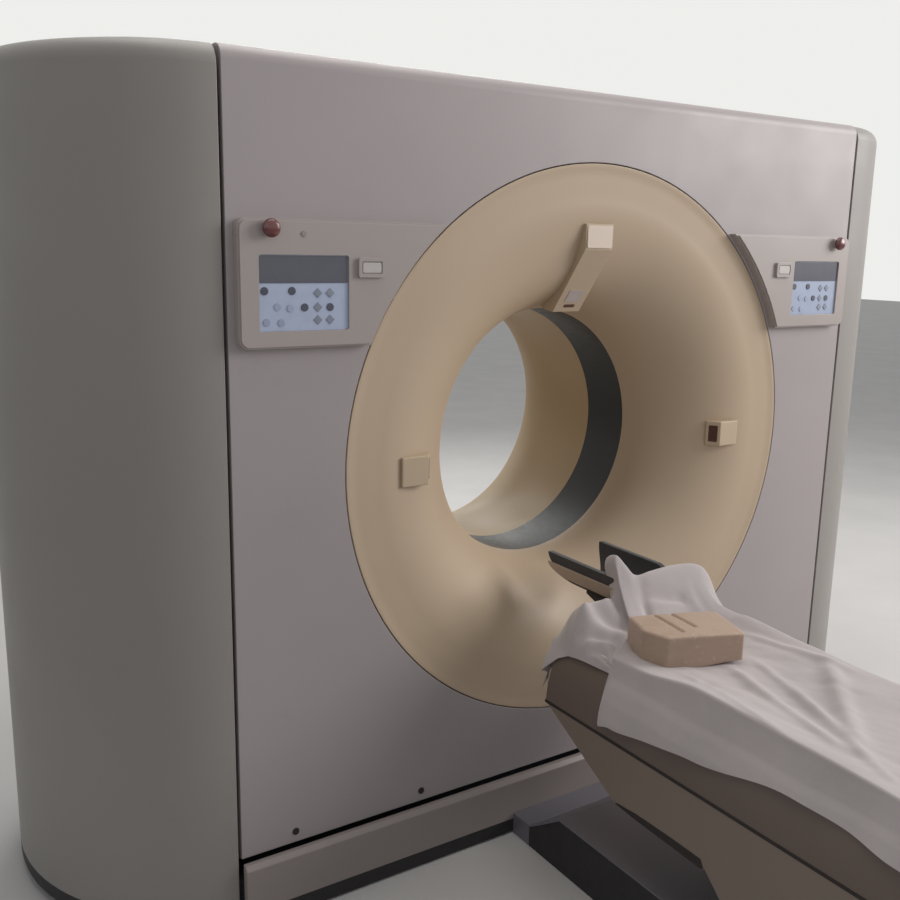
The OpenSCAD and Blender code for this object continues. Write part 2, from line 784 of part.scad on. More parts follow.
module detector_arc() {
    depth = 120;
    reach = detector_reach + depth;
    color([0.35, 0.38, 0.42]) at_axis() difference() {
        slab(-60, drum_y) translate([0, focus_r]) difference() {
            intersection() {
                circle(reach, $fn = 256);
                polygon([[0, 0], [-1.2 * reach * sin(detector_half), -1.2 * reach * cos(detector_half)],
                    [1.2 * reach * sin(detector_half), -1.2 * reach * cos(detector_half)]]);
            }
            circle(detector_reach, $fn = 256);
        }
        slab(-35, 35) translate([0, focus_r]) intersection() {
            circle(detector_reach + 14, $fn = 256);
            polygon([[0, 0], [-1.2 * reach * sin(detector_half - 1), -1.2 * reach * cos(detector_half - 1)],
                [1.2 * reach * sin(detector_half - 1), -1.2 * reach * cos(detector_half - 1)]]);
        }
    }
}

// The belt runs straight between the drum's groove and the pulley, tangent to both
function arc_pts(c, r, a0, a1, n) = [for (i = [0:n]) let (a = a0 + (a1 - a0) * i / n)
    [c[0] + r * cos(a), c[1] + r * sin(a)]];
function belt_path(grow) = let (r1 = drum_r - belt_t - 2 + grow, r2 = pulley_r + grow,
        d = sqrt(motor_x * motor_x + motor_z * motor_z), dir = atan2(motor_z, motor_x), k = acos((r1 - r2) / d))
    concat(arc_pts([0, 0], r1, dir + k, dir + 360 - k, 120),
        arc_pts([motor_x, motor_z], r2, dir - k, dir + k, 24));
module drive_belt() {
    color([0.1, 0.1, 0.1]) at_axis() slab(groove_y + 0.5, groove_y + belt_w - 0.5) difference() {
        polygon(belt_path(belt_gap + belt_t));
        polygon(belt_path(belt_gap));
    }
}
module rotor_drive_motor() {
    color("darkslategray") at_axis() translate([motor_x, 0, motor_z]) difference() {
        union() {
            rod_y(80, groove_y + belt_w + 18, plate_y[0]);
            rod_y(70, plate_y[0] - 1, plate_y[1] + 120);
        }
        rod_y(16 + run_fit, 0, plate_y[0] - 20);
    }
}
module motor_pulley() {
    color("silver") at_axis() translate([motor_x, 0, motor_z]) {
        difference() {
            turned() polygon([[0, groove_y - 5], [pulley_r + 8, groove_y - 5], [pulley_r + 8, groove_y],
                [pulley_r, groove_y], [pulley_r, groove_y + belt_w], [pulley_r + 8, groove_y + belt_w],
                [pulley_r + 8, groove_y + belt_w + 4], [16, groove_y + belt_w + 4],
                [16, plate_y[0] - 25], [0, plate_y[0] - 25]]);
            for (a = [0:60:300]) rotate([0, a, 0]) translate([38, 0, 0]) rod_y(9, groove_y - 6, groove_y + belt_w + 5);
        }
    }
}

// Control panels: a raised shell cut concentric to the funnel, with a sunk display and a key box
panel_z = panel_top - panel_h - axis_h;
display_x = 727;                    // inner edge of the display
display_z = 1368 - axis_h;          // lower edge of the display
stop_x = 908;
stop_z = 1578 - axis_h;
module panel_outline(d = 0) {
    difference() {
        translate([430 + d, panel_z + d]) round_rect(panel_x - 430 - 2 * d, panel_h - 2 * d, 22 - d);
        circle(funnel_r + seam + 8 + d, $fn = 192);
    }
}
module control_panel() {
    y1 = -front_depth;
    y0 = y1 - panel_t;
    at_axis() difference() {
        union() {
            slab(y0 + 5, y1) panel_outline();
            slab(y0, y0 + 5) panel_outline(4);
            slab(y0 - 8, y0) translate([642, 1479 - axis_h]) round_rect(65, 42, 5);
            translate([stop_x, 0, stop_z]) rod_y(13, y0 - 4, y0);
        }
        slab(y0 - 1, y0 + 9) translate([display_x, display_z]) round_rect(display_w, display_h, 6);
        translate([stop_x, 0, stop_z]) rod_y(8 + run_fit, y0 - 10, y0 + 18);
        slab(y0 - 9, y0 - 5) translate([650, 1487 - axis_h]) round_rect(49, 26, 3);
    }
}
module display() {
    y0 = -front_depth - panel_t + 5;
    at_axis() slab(y0, y0 + 4) translate([display_x + hug, display_z + hug])
        round_rect(display_w - 2 * hug, display_h - 2 * hug, 6);
}
module stop_button() {
    y0 = -front_depth - panel_t;
    at_axis() translate([stop_x, 0, stop_z]) turned()
        polygon([[0, y0 + 12], [8, y0 + 12], [8, y0 - 11], [stop_r, y0 - 11], [stop_r, y0 - 16],
            [stop_r - 3, y0 - 21], [stop_r - 8, y0 - 24], [0, y0 - 25]]);
}
module left_control_panel() { color([0.76, 0.72, 0.75]) left_hand() control_panel(); }
module right_control_panel() { color([0.76, 0.72, 0.75]) control_panel(); }
module left_display() { color([0.62, 0.68, 0.76]) left_hand() display(); }
module right_display() { color([0.62, 0.68, 0.76]) display(); }
module left_stop_button() { color([0.60, 0.12, 0.12]) left_hand() stop_button(); }
module right_stop_button() { color([0.60, 0.12, 0.12]) stop_button(); }

// Laser housings stand on the funnel's face; the top one runs down it to the scan window
module top_laser_housing() {
    w = 45;
    color([0.86, 0.80, 0.72]) at_axis() difference() {
        bar(-w, w) polygon([[5 - front_depth, trumpet_r - 64], [7 - front_depth, trumpet_r - 128],
            [-window_y - 135.5, bore_r - 2], [-window_y - 101.5, bore_r + 2], [-window_y + 18.5, bore_r + 70],
            [43 - front_depth, trumpet_r - 64]]);
        behind_funnel_face();
    }
}
module side_laser_boxes() {
    color([0.86, 0.80, 0.72]) at_axis() for (s = [-1, 1]) difference() {
        translate([0, 0, -46]) linear_extrude(72)
            polygon([for (p = [[68, 7], [140, 7], [162, 43], [140, 103], [68, 83]])
                [s * (trumpet_r - p[0]), p[1] - front_depth]]);
        behind_funnel_face();
    }
}

// Side view of the table's covers
table_end = -table_y - table_len;
nose_y = -782;
nose_z = 316;
skirt_y = -1061;
skirt_z = 306;
low_z = 178;
module table_outline(t = 0) {
    polygon([[-table_y - 1.6 * t, table_seam_h], [nose_y - 0.5 * t, nose_z + t], [skirt_y - 0.5 * t, skirt_z + t],
        [skirt_y - 130, low_z + (t > 0 ? -10 : 0)], [table_end + t, low_z + (t > 0 ? -10 : 0)],
        [table_end + t, table_seam_h]]);
}
module table_lower_cover() {
    color([0.60, 0.56, 0.52]) difference() {
        bar(-table_x, table_x) table_outline();
        bar(-table_x + 4, table_x - 4) {
            table_outline(4);
            translate([table_end + 4, table_seam_h - 20]) square([table_len - 4 - 20, 30]);
        }
    }
}

// Cross section of the upper cover's right shoulder, from the seam up to the cradle
shoulder_z = [table_seam_h + 3, cradle_h - 24];
function up_shoulder(k) = shoulder_z[0] + k * (shoulder_z[1] - shoulder_z[0]) / 130;
shoulder_pts = [[table_x, up_shoulder(0)], [table_x - 4, up_shoulder(42)], [table_x - 14, up_shoulder(82)],
    [table_x - 28, up_shoulder(114)], [cradle_x + 16, up_shoulder(130)]];
module shoulder() {
    t = 4;
    in_x = cradle_x + 8;
    n = len(shoulder_pts) - 1;
    polygon(concat(shoulder_pts, [[in_x, shoulder_z[1]], [in_x, shoulder_z[1] - t]],
        [for (i = [0:n]) [shoulder_pts[n - i][0] - t, shoulder_pts[n - i][1] - (i == n ? 0 : i == 0 ? t : 1)]]));
}
module table_upper_cover() {
    color([0.42, 0.40, 0.38]) {
        slab(table_end, -table_y) {
            shoulder();
            mirror([1, 0]) shoulder();
        }
        for (y = [table_end, -table_y - 6]) slab(y, y + 6) polygon([[1 - shoulder_pts[0][0], shoulder_pts[0][1]],
            [1 - shoulder_pts[1][0], shoulder_pts[1][1]], [1 - shoulder_pts[2][0], shoulder_pts[2][1]],
            [shoulder_pts[2][0] - 1, shoulder_pts[2][1]], [shoulder_pts[1][0] - 1, shoulder_pts[1][1]],
            [shoulder_pts[0][0] - 1, shoulder_pts[0][1]]]);
    }
}

rail_x = 110;
rail_z = frame_z + frame_t;
rail_top = rail_z + 34;
frame_y = [-table_y - 40, table_end + 25];
module table_frame() {
    y0 = frame_y[0];
    y1 = frame_y[1];
    top = frame_z + frame_t;
    seam_z = table_seam_h + 3;
    color("dimgray") {
        for (s = [-1, 1]) {
            block([s * 150 - 25, y1, frame_z], [s * 150 + 25, y0, top]);
            block([s * rail_x - 30, y1, frame_z + 14], [s * rail_x + 30, y0, top]);
            block([s * 260 - 6, y1 + 100, seam_z - 18], [s * 260 + 6, y0 - 150, seam_z]);
            block([s * 261 - 6.5, y1 + 100, seam_z - 3], [s * 261 + 6.5, y0 - 150, seam_z]);
        }
        for (y = [y0 - 120, column_ys[0], table_mid, column_ys[1], y1 + 150]) {
            block([-262, y - 50, frame_z], [262, y + 50, frame_z + 15]);
            for (x = [-262, 250])
                block([x, y - 50, min(frame_z, seam_z - 18)], [x + 12, y + 50, max(frame_z + 15, seam_z)]);
        }
    }
}
module cradle_rails() {
    color("silver") for (s = [-1, 1]) difference() {
        block([s * rail_x - 12, frame_y[1] + 15, rail_z], [s * rail_x + 12, frame_y[0], rail_top]);
        for (d = [-1, 1])
            block([s * rail_x + d * 12 - 4, table_end, rail_z + 12], [s * rail_x + d * 12 + 4, 0, rail_z + 20]);
    }
}

// Trough of the cradle in cross section
cradle_foot = cradle_h - 52;
module cradle_section() {
    rise = 44;
    ro = (cradle_x * cradle_x + rise * rise) / (2 * rise);
    lip = cradle_x - 10;
    ri = (lip * lip + cradle_dip * cradle_dip) / (2 * cradle_dip);
    difference() {
        intersection() {
            translate([0, cradle_foot + ro]) circle(ro, $fn = 256);
            translate([-cradle_x - 8, cradle_foot - 1]) square([2 * cradle_x + 16, cradle_h - cradle_foot + 1]);
        }
        translate([0, cradle_h - cradle_dip + ri]) circle(ri, $fn = 256);
    }
}
module cradle() {
    y1 = -cradle_y;
    y0 = y1 - cradle_len;
    r = 60;
    color([0.82, 0.80, 0.78]) {
        intersection() {
            slab(y0, y1) cradle_section();
            translate([-cradle_x, y0, cradle_foot - 5]) linear_extrude(80) round_rect(2 * cradle_x, cradle_len, r);
        }
        for (s = [-1, 1], y = [-850, -1900]) difference() {
            block([s * rail_x - 32, y - 60, rail_z + 8], [s * rail_x + 32, y + 60, cradle_foot + 14]);
            block([s * rail_x - 12 - hug, y - 61, rail_z], [s * rail_x + 12 + hug, y + 61, rail_top + hug]);
        }
    }
}

// Head holder: an open trough on the head end of the cradle
holder_y = [-300, -562];
holder_r = 104;
holder_z = 757;                     // height of the trough's centre
holder_rake = 110;                  // how far the bottom of the front end is cut back
module holder_section(t) {
    difference() {
        intersection() {
            translate([0, holder_z]) circle(holder_r);
            translate([-holder_r - 1, holder_z - holder_r - 1]) square([2 * holder_r + 2, holder_r - 4]);
        }
        translate([0, holder_z]) circle(holder_r - t);
    }
}
module head_holder() {
    low = holder_z - holder_r;
    color([0.14, 0.13, 0.14]) {
        difference() {
            slab(holder_y[1], holder_y[0]) holder_section(20);
            bar(-holder_r - 2, holder_r + 2) polygon([[holder_y[0] + 1, holder_z - 22],
                [holder_y[0] - holder_rake, low - 1], [holder_y[0] + 1, low - 1]]);
        }
        block([-60, holder_y[1] - 26, cradle_h - 23.5], [60, holder_y[1] + 80, low + 12]);
        block([-60, holder_y[1] + 79, low - 12], [60, holder_y[0] - holder_rake - 8, low + 12]);
    }
}

// Sheet over the cradle: it lies down both shoulders of the cover, is drawn up behind the head
// holder, and hangs over the head end on the left
sheet_t = 3;
sheet_y = [-645, -2360];
sheet_peak = [-575, 718];
sheet_hem = [-472, 468];
module table_sheet() {
    x = cradle_x + 2;
    z = cradle_h + hug;
    t = sheet_t;
    fall = [for (i = [1:len(shoulder_pts) - 1]) shoulder_pts[i] + [2, 2]];
    n = len(fall) - 1;
    side = concat([[x - 5, z], [x - 5, z + t], [x, z + t], [x + t, z + t - 1]],
        [for (i = [0:n]) fall[n - i] + [t, 0]], fall, [[x, z]]);
    color("white") {
        slab(sheet_y[1], sheet_y[0]) {
            translate([-x, z]) square([2 * x, t]);
            for (m = [0, 1]) mirror([m, 0]) polygon(side);
        }
        bar(-x, x) polygon([[sheet_y[0] - 5, z], [sheet_y[0] - 5, z + t], sheet_peak, sheet_peak + [6, 0],
            sheet_peak + [8, -50], sheet_peak + [5, -50], sheet_peak + [3, -6], [sheet_y[0] + 3, z]]);
        bar(-x, -holder_r - 8) polygon([sheet_peak + [0, -1], sheet_peak + [6, 0], [-492, 600], sheet_hem,
            sheet_hem - [4, 0], [-497, 600], sheet_peak - [4, 10]]);
        bar(-x - t, -x) polygon([[sheet_y[0] - 5, z], [sheet_y[0] - 5, z + t], sheet_peak, sheet_peak + [6, 0],
            [-492, 600], sheet_hem, sheet_hem - [4, 0], [-500, 590], [-600, 596]]);
        bar(x, x + t) polygon([[sheet_y[0] - 5, z], [sheet_y[0] - 5, z + t], sheet_peak, sheet_peak + [6, 0],
            sheet_peak + [8, -50], [-590, 640]]);
    }
}

// Foam pad on the sheet
pad_at = [-60, -770];
pad_size = [230, 150, 82];
module positioning_pad() {
    color([0.80, 0.66, 0.54]) translate([pad_at[0], pad_at[1], cradle_h + sheet_t + 2 * hug]) rotate(-21)
        translate([-pad_size[0] / 2, -pad_size[1] / 2, 0])
            linear_extrude(pad_size[2]) round_rect(pad_size[0], pad_size[1], 20);
}

gantry_base_frame();
left_pedestal();
right_pedestal();
trunnion_bearings();
left_side_cover();
right_side_cover();
toe_kicks();
front_skirt();
rear_skirt();
tilt_gear_motor();
floor_duct();
table_base_plate();
plinth_cover();
plinth_top();
lift_columns_outer();
lift_shroud_fixed();
stator_frame();
trunnion_shafts();
tilt_sector_gear();
front_cover();
top_cover();
bottom_cover();
rear_cover();
front_funnel();
scan_window();
rear_funnel();
bearing_outer_ring();
brush_block();
rotor_drive_motor();
drive_belt();
left_control_panel();
right_control_panel();
left_display();
right_display();
top_laser_housing();
side_laser_boxes();
rotor_drum();
bearing_inner_ring();
slip_ring();
xray_tube();
collimator();
high_voltage_tanks();
detector_arc();
tube_cooler();
counterweights();
motor_pulley();
tilt_pinion();
left_stop_button();
right_stop_button();
lift_columns_middle();
lift_shroud_middle();
lift_columns_inner();
table_frame();
table_lower_cover();
table_upper_cover();
cradle_rails();
cradle();
head_holder();
table_sheet();
positioning_pad();
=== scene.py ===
"""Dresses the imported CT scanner: finishes, smooth shells, funnel, panels, head holder, pad and sheet."""
import json
import math

import bmesh
import bpy
from mathutils import Matrix, Vector, noise


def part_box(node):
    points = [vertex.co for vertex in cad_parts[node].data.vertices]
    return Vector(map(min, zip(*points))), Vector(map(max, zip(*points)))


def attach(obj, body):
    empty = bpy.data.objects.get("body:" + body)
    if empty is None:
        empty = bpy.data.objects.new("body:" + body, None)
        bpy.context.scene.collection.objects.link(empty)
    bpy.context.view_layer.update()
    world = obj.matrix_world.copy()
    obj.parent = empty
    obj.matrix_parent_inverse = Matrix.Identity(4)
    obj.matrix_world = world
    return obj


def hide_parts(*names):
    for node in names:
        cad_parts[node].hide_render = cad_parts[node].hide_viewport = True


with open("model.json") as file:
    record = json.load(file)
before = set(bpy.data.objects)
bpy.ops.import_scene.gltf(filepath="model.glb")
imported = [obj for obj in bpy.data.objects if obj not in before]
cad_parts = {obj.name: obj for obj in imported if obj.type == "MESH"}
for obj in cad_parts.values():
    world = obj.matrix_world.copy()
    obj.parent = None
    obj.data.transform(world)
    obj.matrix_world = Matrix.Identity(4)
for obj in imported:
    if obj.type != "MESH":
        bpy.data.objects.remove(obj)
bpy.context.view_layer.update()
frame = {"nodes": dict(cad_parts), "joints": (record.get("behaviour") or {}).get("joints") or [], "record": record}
NODES = frame["nodes"]
BODY_OF = {name: body for body, names in frame["record"]["behaviour"]["bodies"].items() for name in names}

# The isocentre and the sizes that the dressing follows, in metres
AXIS_Z = next(j for j in frame["joints"] if j["name"] == "gantry_tilt")["pos_m"][2]
FRONT_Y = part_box("front_cover")[0].y
BORE_R = 0.350
WINDOW_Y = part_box("scan_window")[1].y
SIDES = (("left", -1), ("right", 1))


def clamped(value, low=0.0, high=1.0):
    return max(low, min(high, value))


def linked(name, data):
    """A new object in the scene."""
    obj = bpy.data.objects.new(name, data)
    bpy.context.scene.collection.objects.link(obj)
    return obj


def wired(tree, kind, inputs=(), **settings):
    """A new node with its settings, its inputs linked to sockets or set to values."""
    made = tree.nodes.new(kind)
    for key, value in settings.items():
        setattr(made, key, value)
    for key, value in dict(inputs).items():
        if isinstance(value, bpy.types.NodeSocket):
            tree.links.new(value, made.inputs[key])
        else:
            made.inputs[key].default_value = value
    return made


def srgb(r, g, b):
    """A colour given as values from 0 to 255, turned into linear ones."""
    def linear(v):
        v /= 255
        return v / 12.92 if v <= 0.04045 else ((v + 0.055) / 1.055) ** 2.4
    return (linear(r), linear(g), linear(b), 1.0)


SHELL = srgb(166, 157, 157)
# The columns' colour is a darker, greener copy of the shell's: painted shade, with the greenish cast of the room
# on their shaded sides
COLUMN_IN_SHADE = srgb(146, 141, 136)
CREAM = srgb(188, 167, 142)
SLEEVE = srgb(186, 160, 120)
HOUSING = srgb(190, 170, 144)
PANEL = srgb(168, 158, 154)


class Finish:
    """A node material under construction, with short calls for its nodes."""

    def __init__(self, name, colour, rough, metal=0.0, spec=0.5):
        self.mat = bpy.data.materials.new(name)
        self.mat.use_nodes = True
        self.tree = self.mat.node_tree
        self.bsdf = self.tree.nodes["Principled BSDF"]
        self.set("Base Color", colour)
        self.set("Roughness", rough)
        self.set("Metallic", metal)
        self.set("Specular IOR Level", spec)
        self.colour = colour
        self.mat.diffuse_color = colour
        self.where = self.tree.nodes.new("ShaderNodeTexCoord").outputs["Object"]
        self.height = None

    def set(self, name, value):
        self.bsdf.inputs[name].default_value = value

    def node(self, kind, inputs=(), **settings):
        return wired(self.tree, "ShaderNode" + kind, inputs, **settings)

    def link(self, source, name):
        self.tree.links.new(source, self.bsdf.inputs[name])

    def stretched(self, scale):
        return self.node("Mapping", {"Vector": self.where, "Scale": scale}).outputs["Vector"]

    def noise(self, scale, detail=3.0, rough=0.55, where=None):
        made = self.node("TexNoise", {"Vector": where or self.where, "Scale": scale,
                                      "Detail": detail, "Roughness": rough})
        return made.outputs["Fac"]

    def ramp(self, source, low, high, a, b):
        made = self.node("MapRange", {"Value": source, "From Min": low, "From Max": high,
                                      "To Min": a, "To Max": b})
        return made.outputs["Result"]

    def tint(self, source, other, low=0.35, high=0.65, start=None):
        """Mixes another colour into the base where source is high."""
        mix = self.node("Mix", {"Factor": self.ramp(source, low, high, 0.0, 1.0)}, data_type="RGBA")
        base = start or self.colour
        if isinstance(base, bpy.types.NodeSocket):
            self.tree.links.new(base, mix.inputs["A"])
        else:
            mix.inputs["A"].default_value = base
        mix.inputs["B"].default_value = other
        out = mix.outputs["Result"]
        self.link(out, "Base Color")
        return out

    def rough(self, source, a, b):
        self.link(self.ramp(source, 0.3, 0.7, a, b), "Roughness")

    def bump(self, source, strength, distance):
        made = self.node("Bump", {"Height": source, "Strength": strength, "Distance": distance})
        if self.height is not None:
            self.tree.links.new(self.height, made.inputs["Normal"])
        self.height = made.outputs["Normal"]
        self.link(self.height, "Normal")


def shade(colour, k):
    return (colour[0] * k, colour[1] * k, colour[2] * k, 1.0)


def moulded(name, colour, rough=0.42, grain=0.00004):
    """Painted moulding: slow cloudy tint, faint handling marks and an orange-peel skin."""
    f = Finish(name, colour, rough)
    clouds = f.tint(f.noise(1.3, 2.0), shade(colour, 0.93), 0.38, 0.72)
    f.tint(f.noise(9.0, 5.0, 0.7), shade(colour, 0.90), 0.60, 0.86, clouds)
    f.rough(f.noise(5.0, 4.0), rough - 0.05, rough + 0.08)
    f.bump(f.noise(420.0, 2.0), 0.25, grain)
    f.bump(f.noise(3.0, 2.0), 0.10, 0.0006)
    return f.mat


def textured(name, colour, rough=0.62):
    """Unpainted plastic with a fine moulded grain."""
    f = Finish(name, colour, rough)
    f.tint(f.noise(16.0, 5.0, 0.65), shade(colour, 1.22), 0.45, 0.75)
    f.rough(f.noise(22.0, 3.0), rough - 0.07, rough + 0.08)
    f.bump(f.node("TexVoronoi", {"Vector": f.where, "Scale": 900.0}).outputs["Distance"], 0.30, 0.00012)
    return f.mat


def steel(name, colour, rough=0.32, along=(1.0, 60.0, 60.0)):
    """Machined metal with fine tool lines."""
    f = Finish(name, colour, rough, metal=1.0)
    lines = f.noise(18.0, 4.0, 0.6, f.stretched(along))
    f.rough(lines, rough - 0.08, rough + 0.12)
    f.tint(lines, shade(colour, 0.82), 0.40, 0.70)
    f.bump(lines, 0.15, 0.00005)
    return f.mat


def enamel(name, colour, rough=0.40):
    """Sprayed paint on steel, a little uneven."""
    f = Finish(name, colour, rough, metal=0.0)
    f.set("Coat Weight", 0.15)
    f.tint(f.noise(7.0, 4.0, 0.7), shade(colour, 0.86), 0.48, 0.78)
    f.bump(f.noise(260.0, 2.0), 0.30, 0.00008)
    return f.mat


def film(name, colour, rough=0.36):
    """Satin dark film of the scan window."""
    f = Finish(name, colour, rough, spec=0.22)
    f.tint(f.noise(2.6, 3.0), shade(colour, 1.6), 0.42, 0.80)
    f.rough(f.noise(60.0, 4.0), rough, rough + 0.10)
    return f.mat


def screen(name, colour, painted_glow=0.0):
    """Membrane or display glass, with a faint painted glow."""
    f = Finish(name, colour, 0.22)
    f.set("Coat Weight", 0.3)
    f.set("Emission Color", colour)
    f.set("Emission Strength", painted_glow)
    f.tint(f.noise(40.0, 3.0), shade(colour, 0.90), 0.45, 0.80)
    f.bump(f.noise(700.0, 2.0), 0.2, 0.00003)
    return f.mat


def foam_skin(name, colour):
    """Coated foam: mottled skin with pores and rubbed corners."""
    f = Finish(name, colour, 0.58)
    f.set("Sheen Weight", 0.15)
    mottle = f.tint(f.noise(14.0, 5.0, 0.7), shade(colour, 0.84), 0.45, 0.78)
    f.tint(f.noise(70.0, 3.0), srgb(206, 180, 160), 0.60, 0.90, mottle)
    f.bump(f.noise(160.0, 4.0), 0.45, 0.0006)
    f.bump(f.node("TexVoronoi", {"Vector": f.where, "Scale": 520.0}).outputs["Distance"], 0.25, 0.0002)
    return f.mat


def lining(name, colour):
    """Black foam lining with open pores."""
    f = Finish(name, colour, 0.80)
    f.set("Sheen Weight", 0.25)
    f.tint(f.noise(30.0, 5.0, 0.7), shade(colour, 1.7), 0.50, 0.80)
    f.bump(f.node("TexVoronoi", {"Vector": f.where, "Scale": 420.0}).outputs["Distance"], 0.6, 0.0006)
    return f.mat


def cotton(name, colour):
    """Thin washed cotton: crossed threads on the cloth's own map, slubs and soft creases."""
    f = Finish(name, colour, 0.82)
    f.set("Sheen Weight", 0.35)
    f.set("Sheen Roughness", 0.5)
    f.set("Subsurface Weight", 0.12)
    f.set("Subsurface Radius", (0.02, 0.018, 0.018))
    cloth = f.node("TexCoord").outputs["UV"]
    f.tint(f.noise(5.0, 5.0, 0.6), shade(colour, 0.86), 0.42, 0.78)
    warp = f.node("TexWave", {"Vector": cloth, "Scale": 260.0, "Distortion": 0.6}, bands_direction="X")
    weft = f.node("TexWave", {"Vector": cloth, "Scale": 260.0, "Distortion": 0.6}, bands_direction="Y")
    f.bump(warp.outputs["Fac"], 0.22, 0.0002)
    f.bump(weft.outputs["Fac"], 0.22, 0.0002)
    f.bump(f.noise(34.0, 6.0, 0.7), 0.35, 0.002)
    return f.mat


M = {
    "shell": moulded("gantry shell", SHELL),
    "column": moulded("column shell", COLUMN_IN_SHADE, 0.46),
    "cream": moulded("funnel cream", CREAM, 0.48),
    "sleeve": moulded("rear funnel cream", SLEEVE, 0.50),
    "housing": moulded("laser housing cream", HOUSING, 0.45),
    "panel": moulded("panel plastic", PANEL, 0.38),
    "skirt": moulded("skirt plastic", srgb(148, 138, 134), 0.45),
    "window": film("scan window film", srgb(46, 47, 46)),
    "kick": textured("dark kick plastic", srgb(29, 26, 28)),
    "trim": moulded("floor trim paint", srgb(108, 105, 112), 0.40),
    "lower": moulded("lower table shell", srgb(130, 116, 104), 0.42),
    "upper": moulded("upper table shell", srgb(104, 90, 82), 0.48),
    "cradle": moulded("cradle laminate", srgb(206, 200, 194), 0.35),
    "shroud": textured("shroud plastic", srgb(84, 84, 90)),
    "structure": enamel("structure paint", srgb(92, 94, 100)),
    "motor": enamel("motor paint", srgb(52, 60, 64)),
    "tank": enamel("tank paint", srgb(86, 108, 132)),
    "tube": enamel("tube housing paint", srgb(190, 192, 196)),
    "detector": enamel("detector paint", srgb(78, 84, 94)),
    "steel": steel("machined steel", srgb(172, 174, 178)),
    "aluminium": steel("anodised aluminium", srgb(188, 190, 194), 0.36, (60.0, 60.0, 1.0)),
    "brass": steel("slip ring brass", srgb(206, 168, 96), 0.24),
    "belt": textured("belt rubber", srgb(24, 24, 26), 0.75),
    # The keypad film and the display glass glow faintly: painted light
    "keypad": screen("keypad film", srgb(164, 174, 196), 0.10),
    "lcd": screen("display glass", srgb(84, 84, 96), 0.04),
    "stop": screen("stop button red", srgb(106, 56, 56)),
    "lining": lining("holder lining", srgb(34, 31, 33)),
    "holder": moulded("holder shell", srgb(176, 158, 142), 0.45),
    "pad": foam_skin("pad coating", srgb(176, 151, 132)),
    "sheet": cotton("sheet cotton", srgb(181, 172, 171)),
    "key dark": textured("dark keys", srgb(70, 72, 86), 0.45),
    "key grey": textured("grey keys", srgb(128, 134, 148), 0.45),
    "key pale": textured("pale keys", srgb(150, 160, 182), 0.45),
    "white": moulded("white key box", srgb(192, 186, 182), 0.35),
    "white cream": moulded("laser end plate", srgb(214, 197, 180), 0.40),
    "aperture": film("laser aperture", srgb(84, 56, 46), 0.20),
    # Dark strips in the table's seam and under its lower edges: painted shade of the gaps
    "shade_strip": textured("painted shade strip", srgb(30, 24, 22), 0.70),
    "laser": screen("laser window", srgb(178, 164, 160)),
    "screw": steel("screw steel", srgb(70, 68, 70), 0.40),
}

NODE_FINISH = {
    "structure": ["gantry_base_frame", "left_pedestal", "right_pedestal", "stator_frame", "table_base_plate",
                  "table_frame", "lift_columns_outer"],
    "steel": ["trunnion_bearings", "trunnion_shafts", "tilt_sector_gear", "tilt_pinion", "bearing_outer_ring",
              "bearing_inner_ring", "motor_pulley", "cradle_rails", "collimator", "counterweights"],
    "shell": ["front_cover", "top_cover", "bottom_cover", "rear_cover"],
    "column": ["left_side_cover", "right_side_cover"],
    "skirt": ["front_skirt", "rear_skirt"],
    "kick": ["toe_kicks", "plinth_cover", "brush_block"],
    "motor": ["tilt_gear_motor", "rotor_drive_motor"],
    "trim": ["floor_duct", "plinth_top"],
    "aluminium": ["lift_columns_middle", "lift_columns_inner", "rotor_drum"],
    "shroud": ["lift_shroud_fixed", "lift_shroud_middle"],
    "cream": ["front_funnel"],
    "sleeve": ["rear_funnel"],
    "housing": ["top_laser_housing", "side_laser_boxes"],
    "window": ["scan_window"],
    "belt": ["drive_belt"],
    "panel": ["left_control_panel", "right_control_panel"],
    "keypad": ["left_display", "right_display"],
    "stop": ["left_stop_button", "right_stop_button"],
    "brass": ["slip_ring"],
    "tube": ["xray_tube", "tube_cooler"],
    "tank": ["high_voltage_tanks"],
    "detector": ["detector_arc"],
    "lower": ["table_lower_cover"],
    "upper": ["table_upper_cover"],
    "cradle": ["cradle"],
    "lining": ["head_holder"],
    "sheet": ["table_sheet"],
    "pad": ["positioning_pad"],
}
for key, names in NODE_FINISH.items():
    for name in names:
        NODES[name].data.materials.clear()
        NODES[name].data.materials.append(M[key])


def piece(name, mesh, finish, body):
    """A finished piece at the origin that rides on a body."""
    obj = linked(name, mesh)
    mesh.materials.clear()
    mesh.materials.append(M[finish])
    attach(obj, body)
    return obj


def settle(obj):
    """Applies every modifier, so that only a plain mesh is left."""
    graph = bpy.context.evaluated_depsgraph_get()
    made = bpy.data.meshes.new_from_object(obj.evaluated_get(graph))
    obj.modifiers.clear()
    obj.data = made
    return obj


def smooth_by_angle(obj, degrees):
    """Shades every face smooth, but for edges that turn by more than an angle."""
    for face in obj.data.polygons:
        face.use_smooth = True
    obj.data.set_sharp_from_angle(angle=math.radians(degrees))


def flat_faces(obj):
    """Keeps the shading of large flat faces flat beside their eased edges."""
    even = obj.modifiers.new("even", "WEIGHTED_NORMAL")
    even.keep_sharp = True
    even.weight = 90
    return settle(obj)


def eased_edges(obj, width, segments=2, turn=30, smooth=32, flat=True):
    """Rounds the edges that turn by more than an angle, then smooths the shading."""
    bevel = obj.modifiers.new("edge", "BEVEL")
    bevel.width = width
    bevel.segments = segments
    bevel.limit_method = "ANGLE"
    bevel.angle_limit = math.radians(turn)
    settle(obj)
    smooth_by_angle(obj, smooth)
    return flat_faces(obj) if flat else obj


def mesh_of(bm, name):
    """The mesh of a finished solid, its faces turned outward."""
    bmesh.ops.recalc_face_normals(bm, faces=bm.faces)
    mesh = bpy.data.meshes.new(name)
    bm.to_mesh(mesh)
    bm.free()
    return mesh


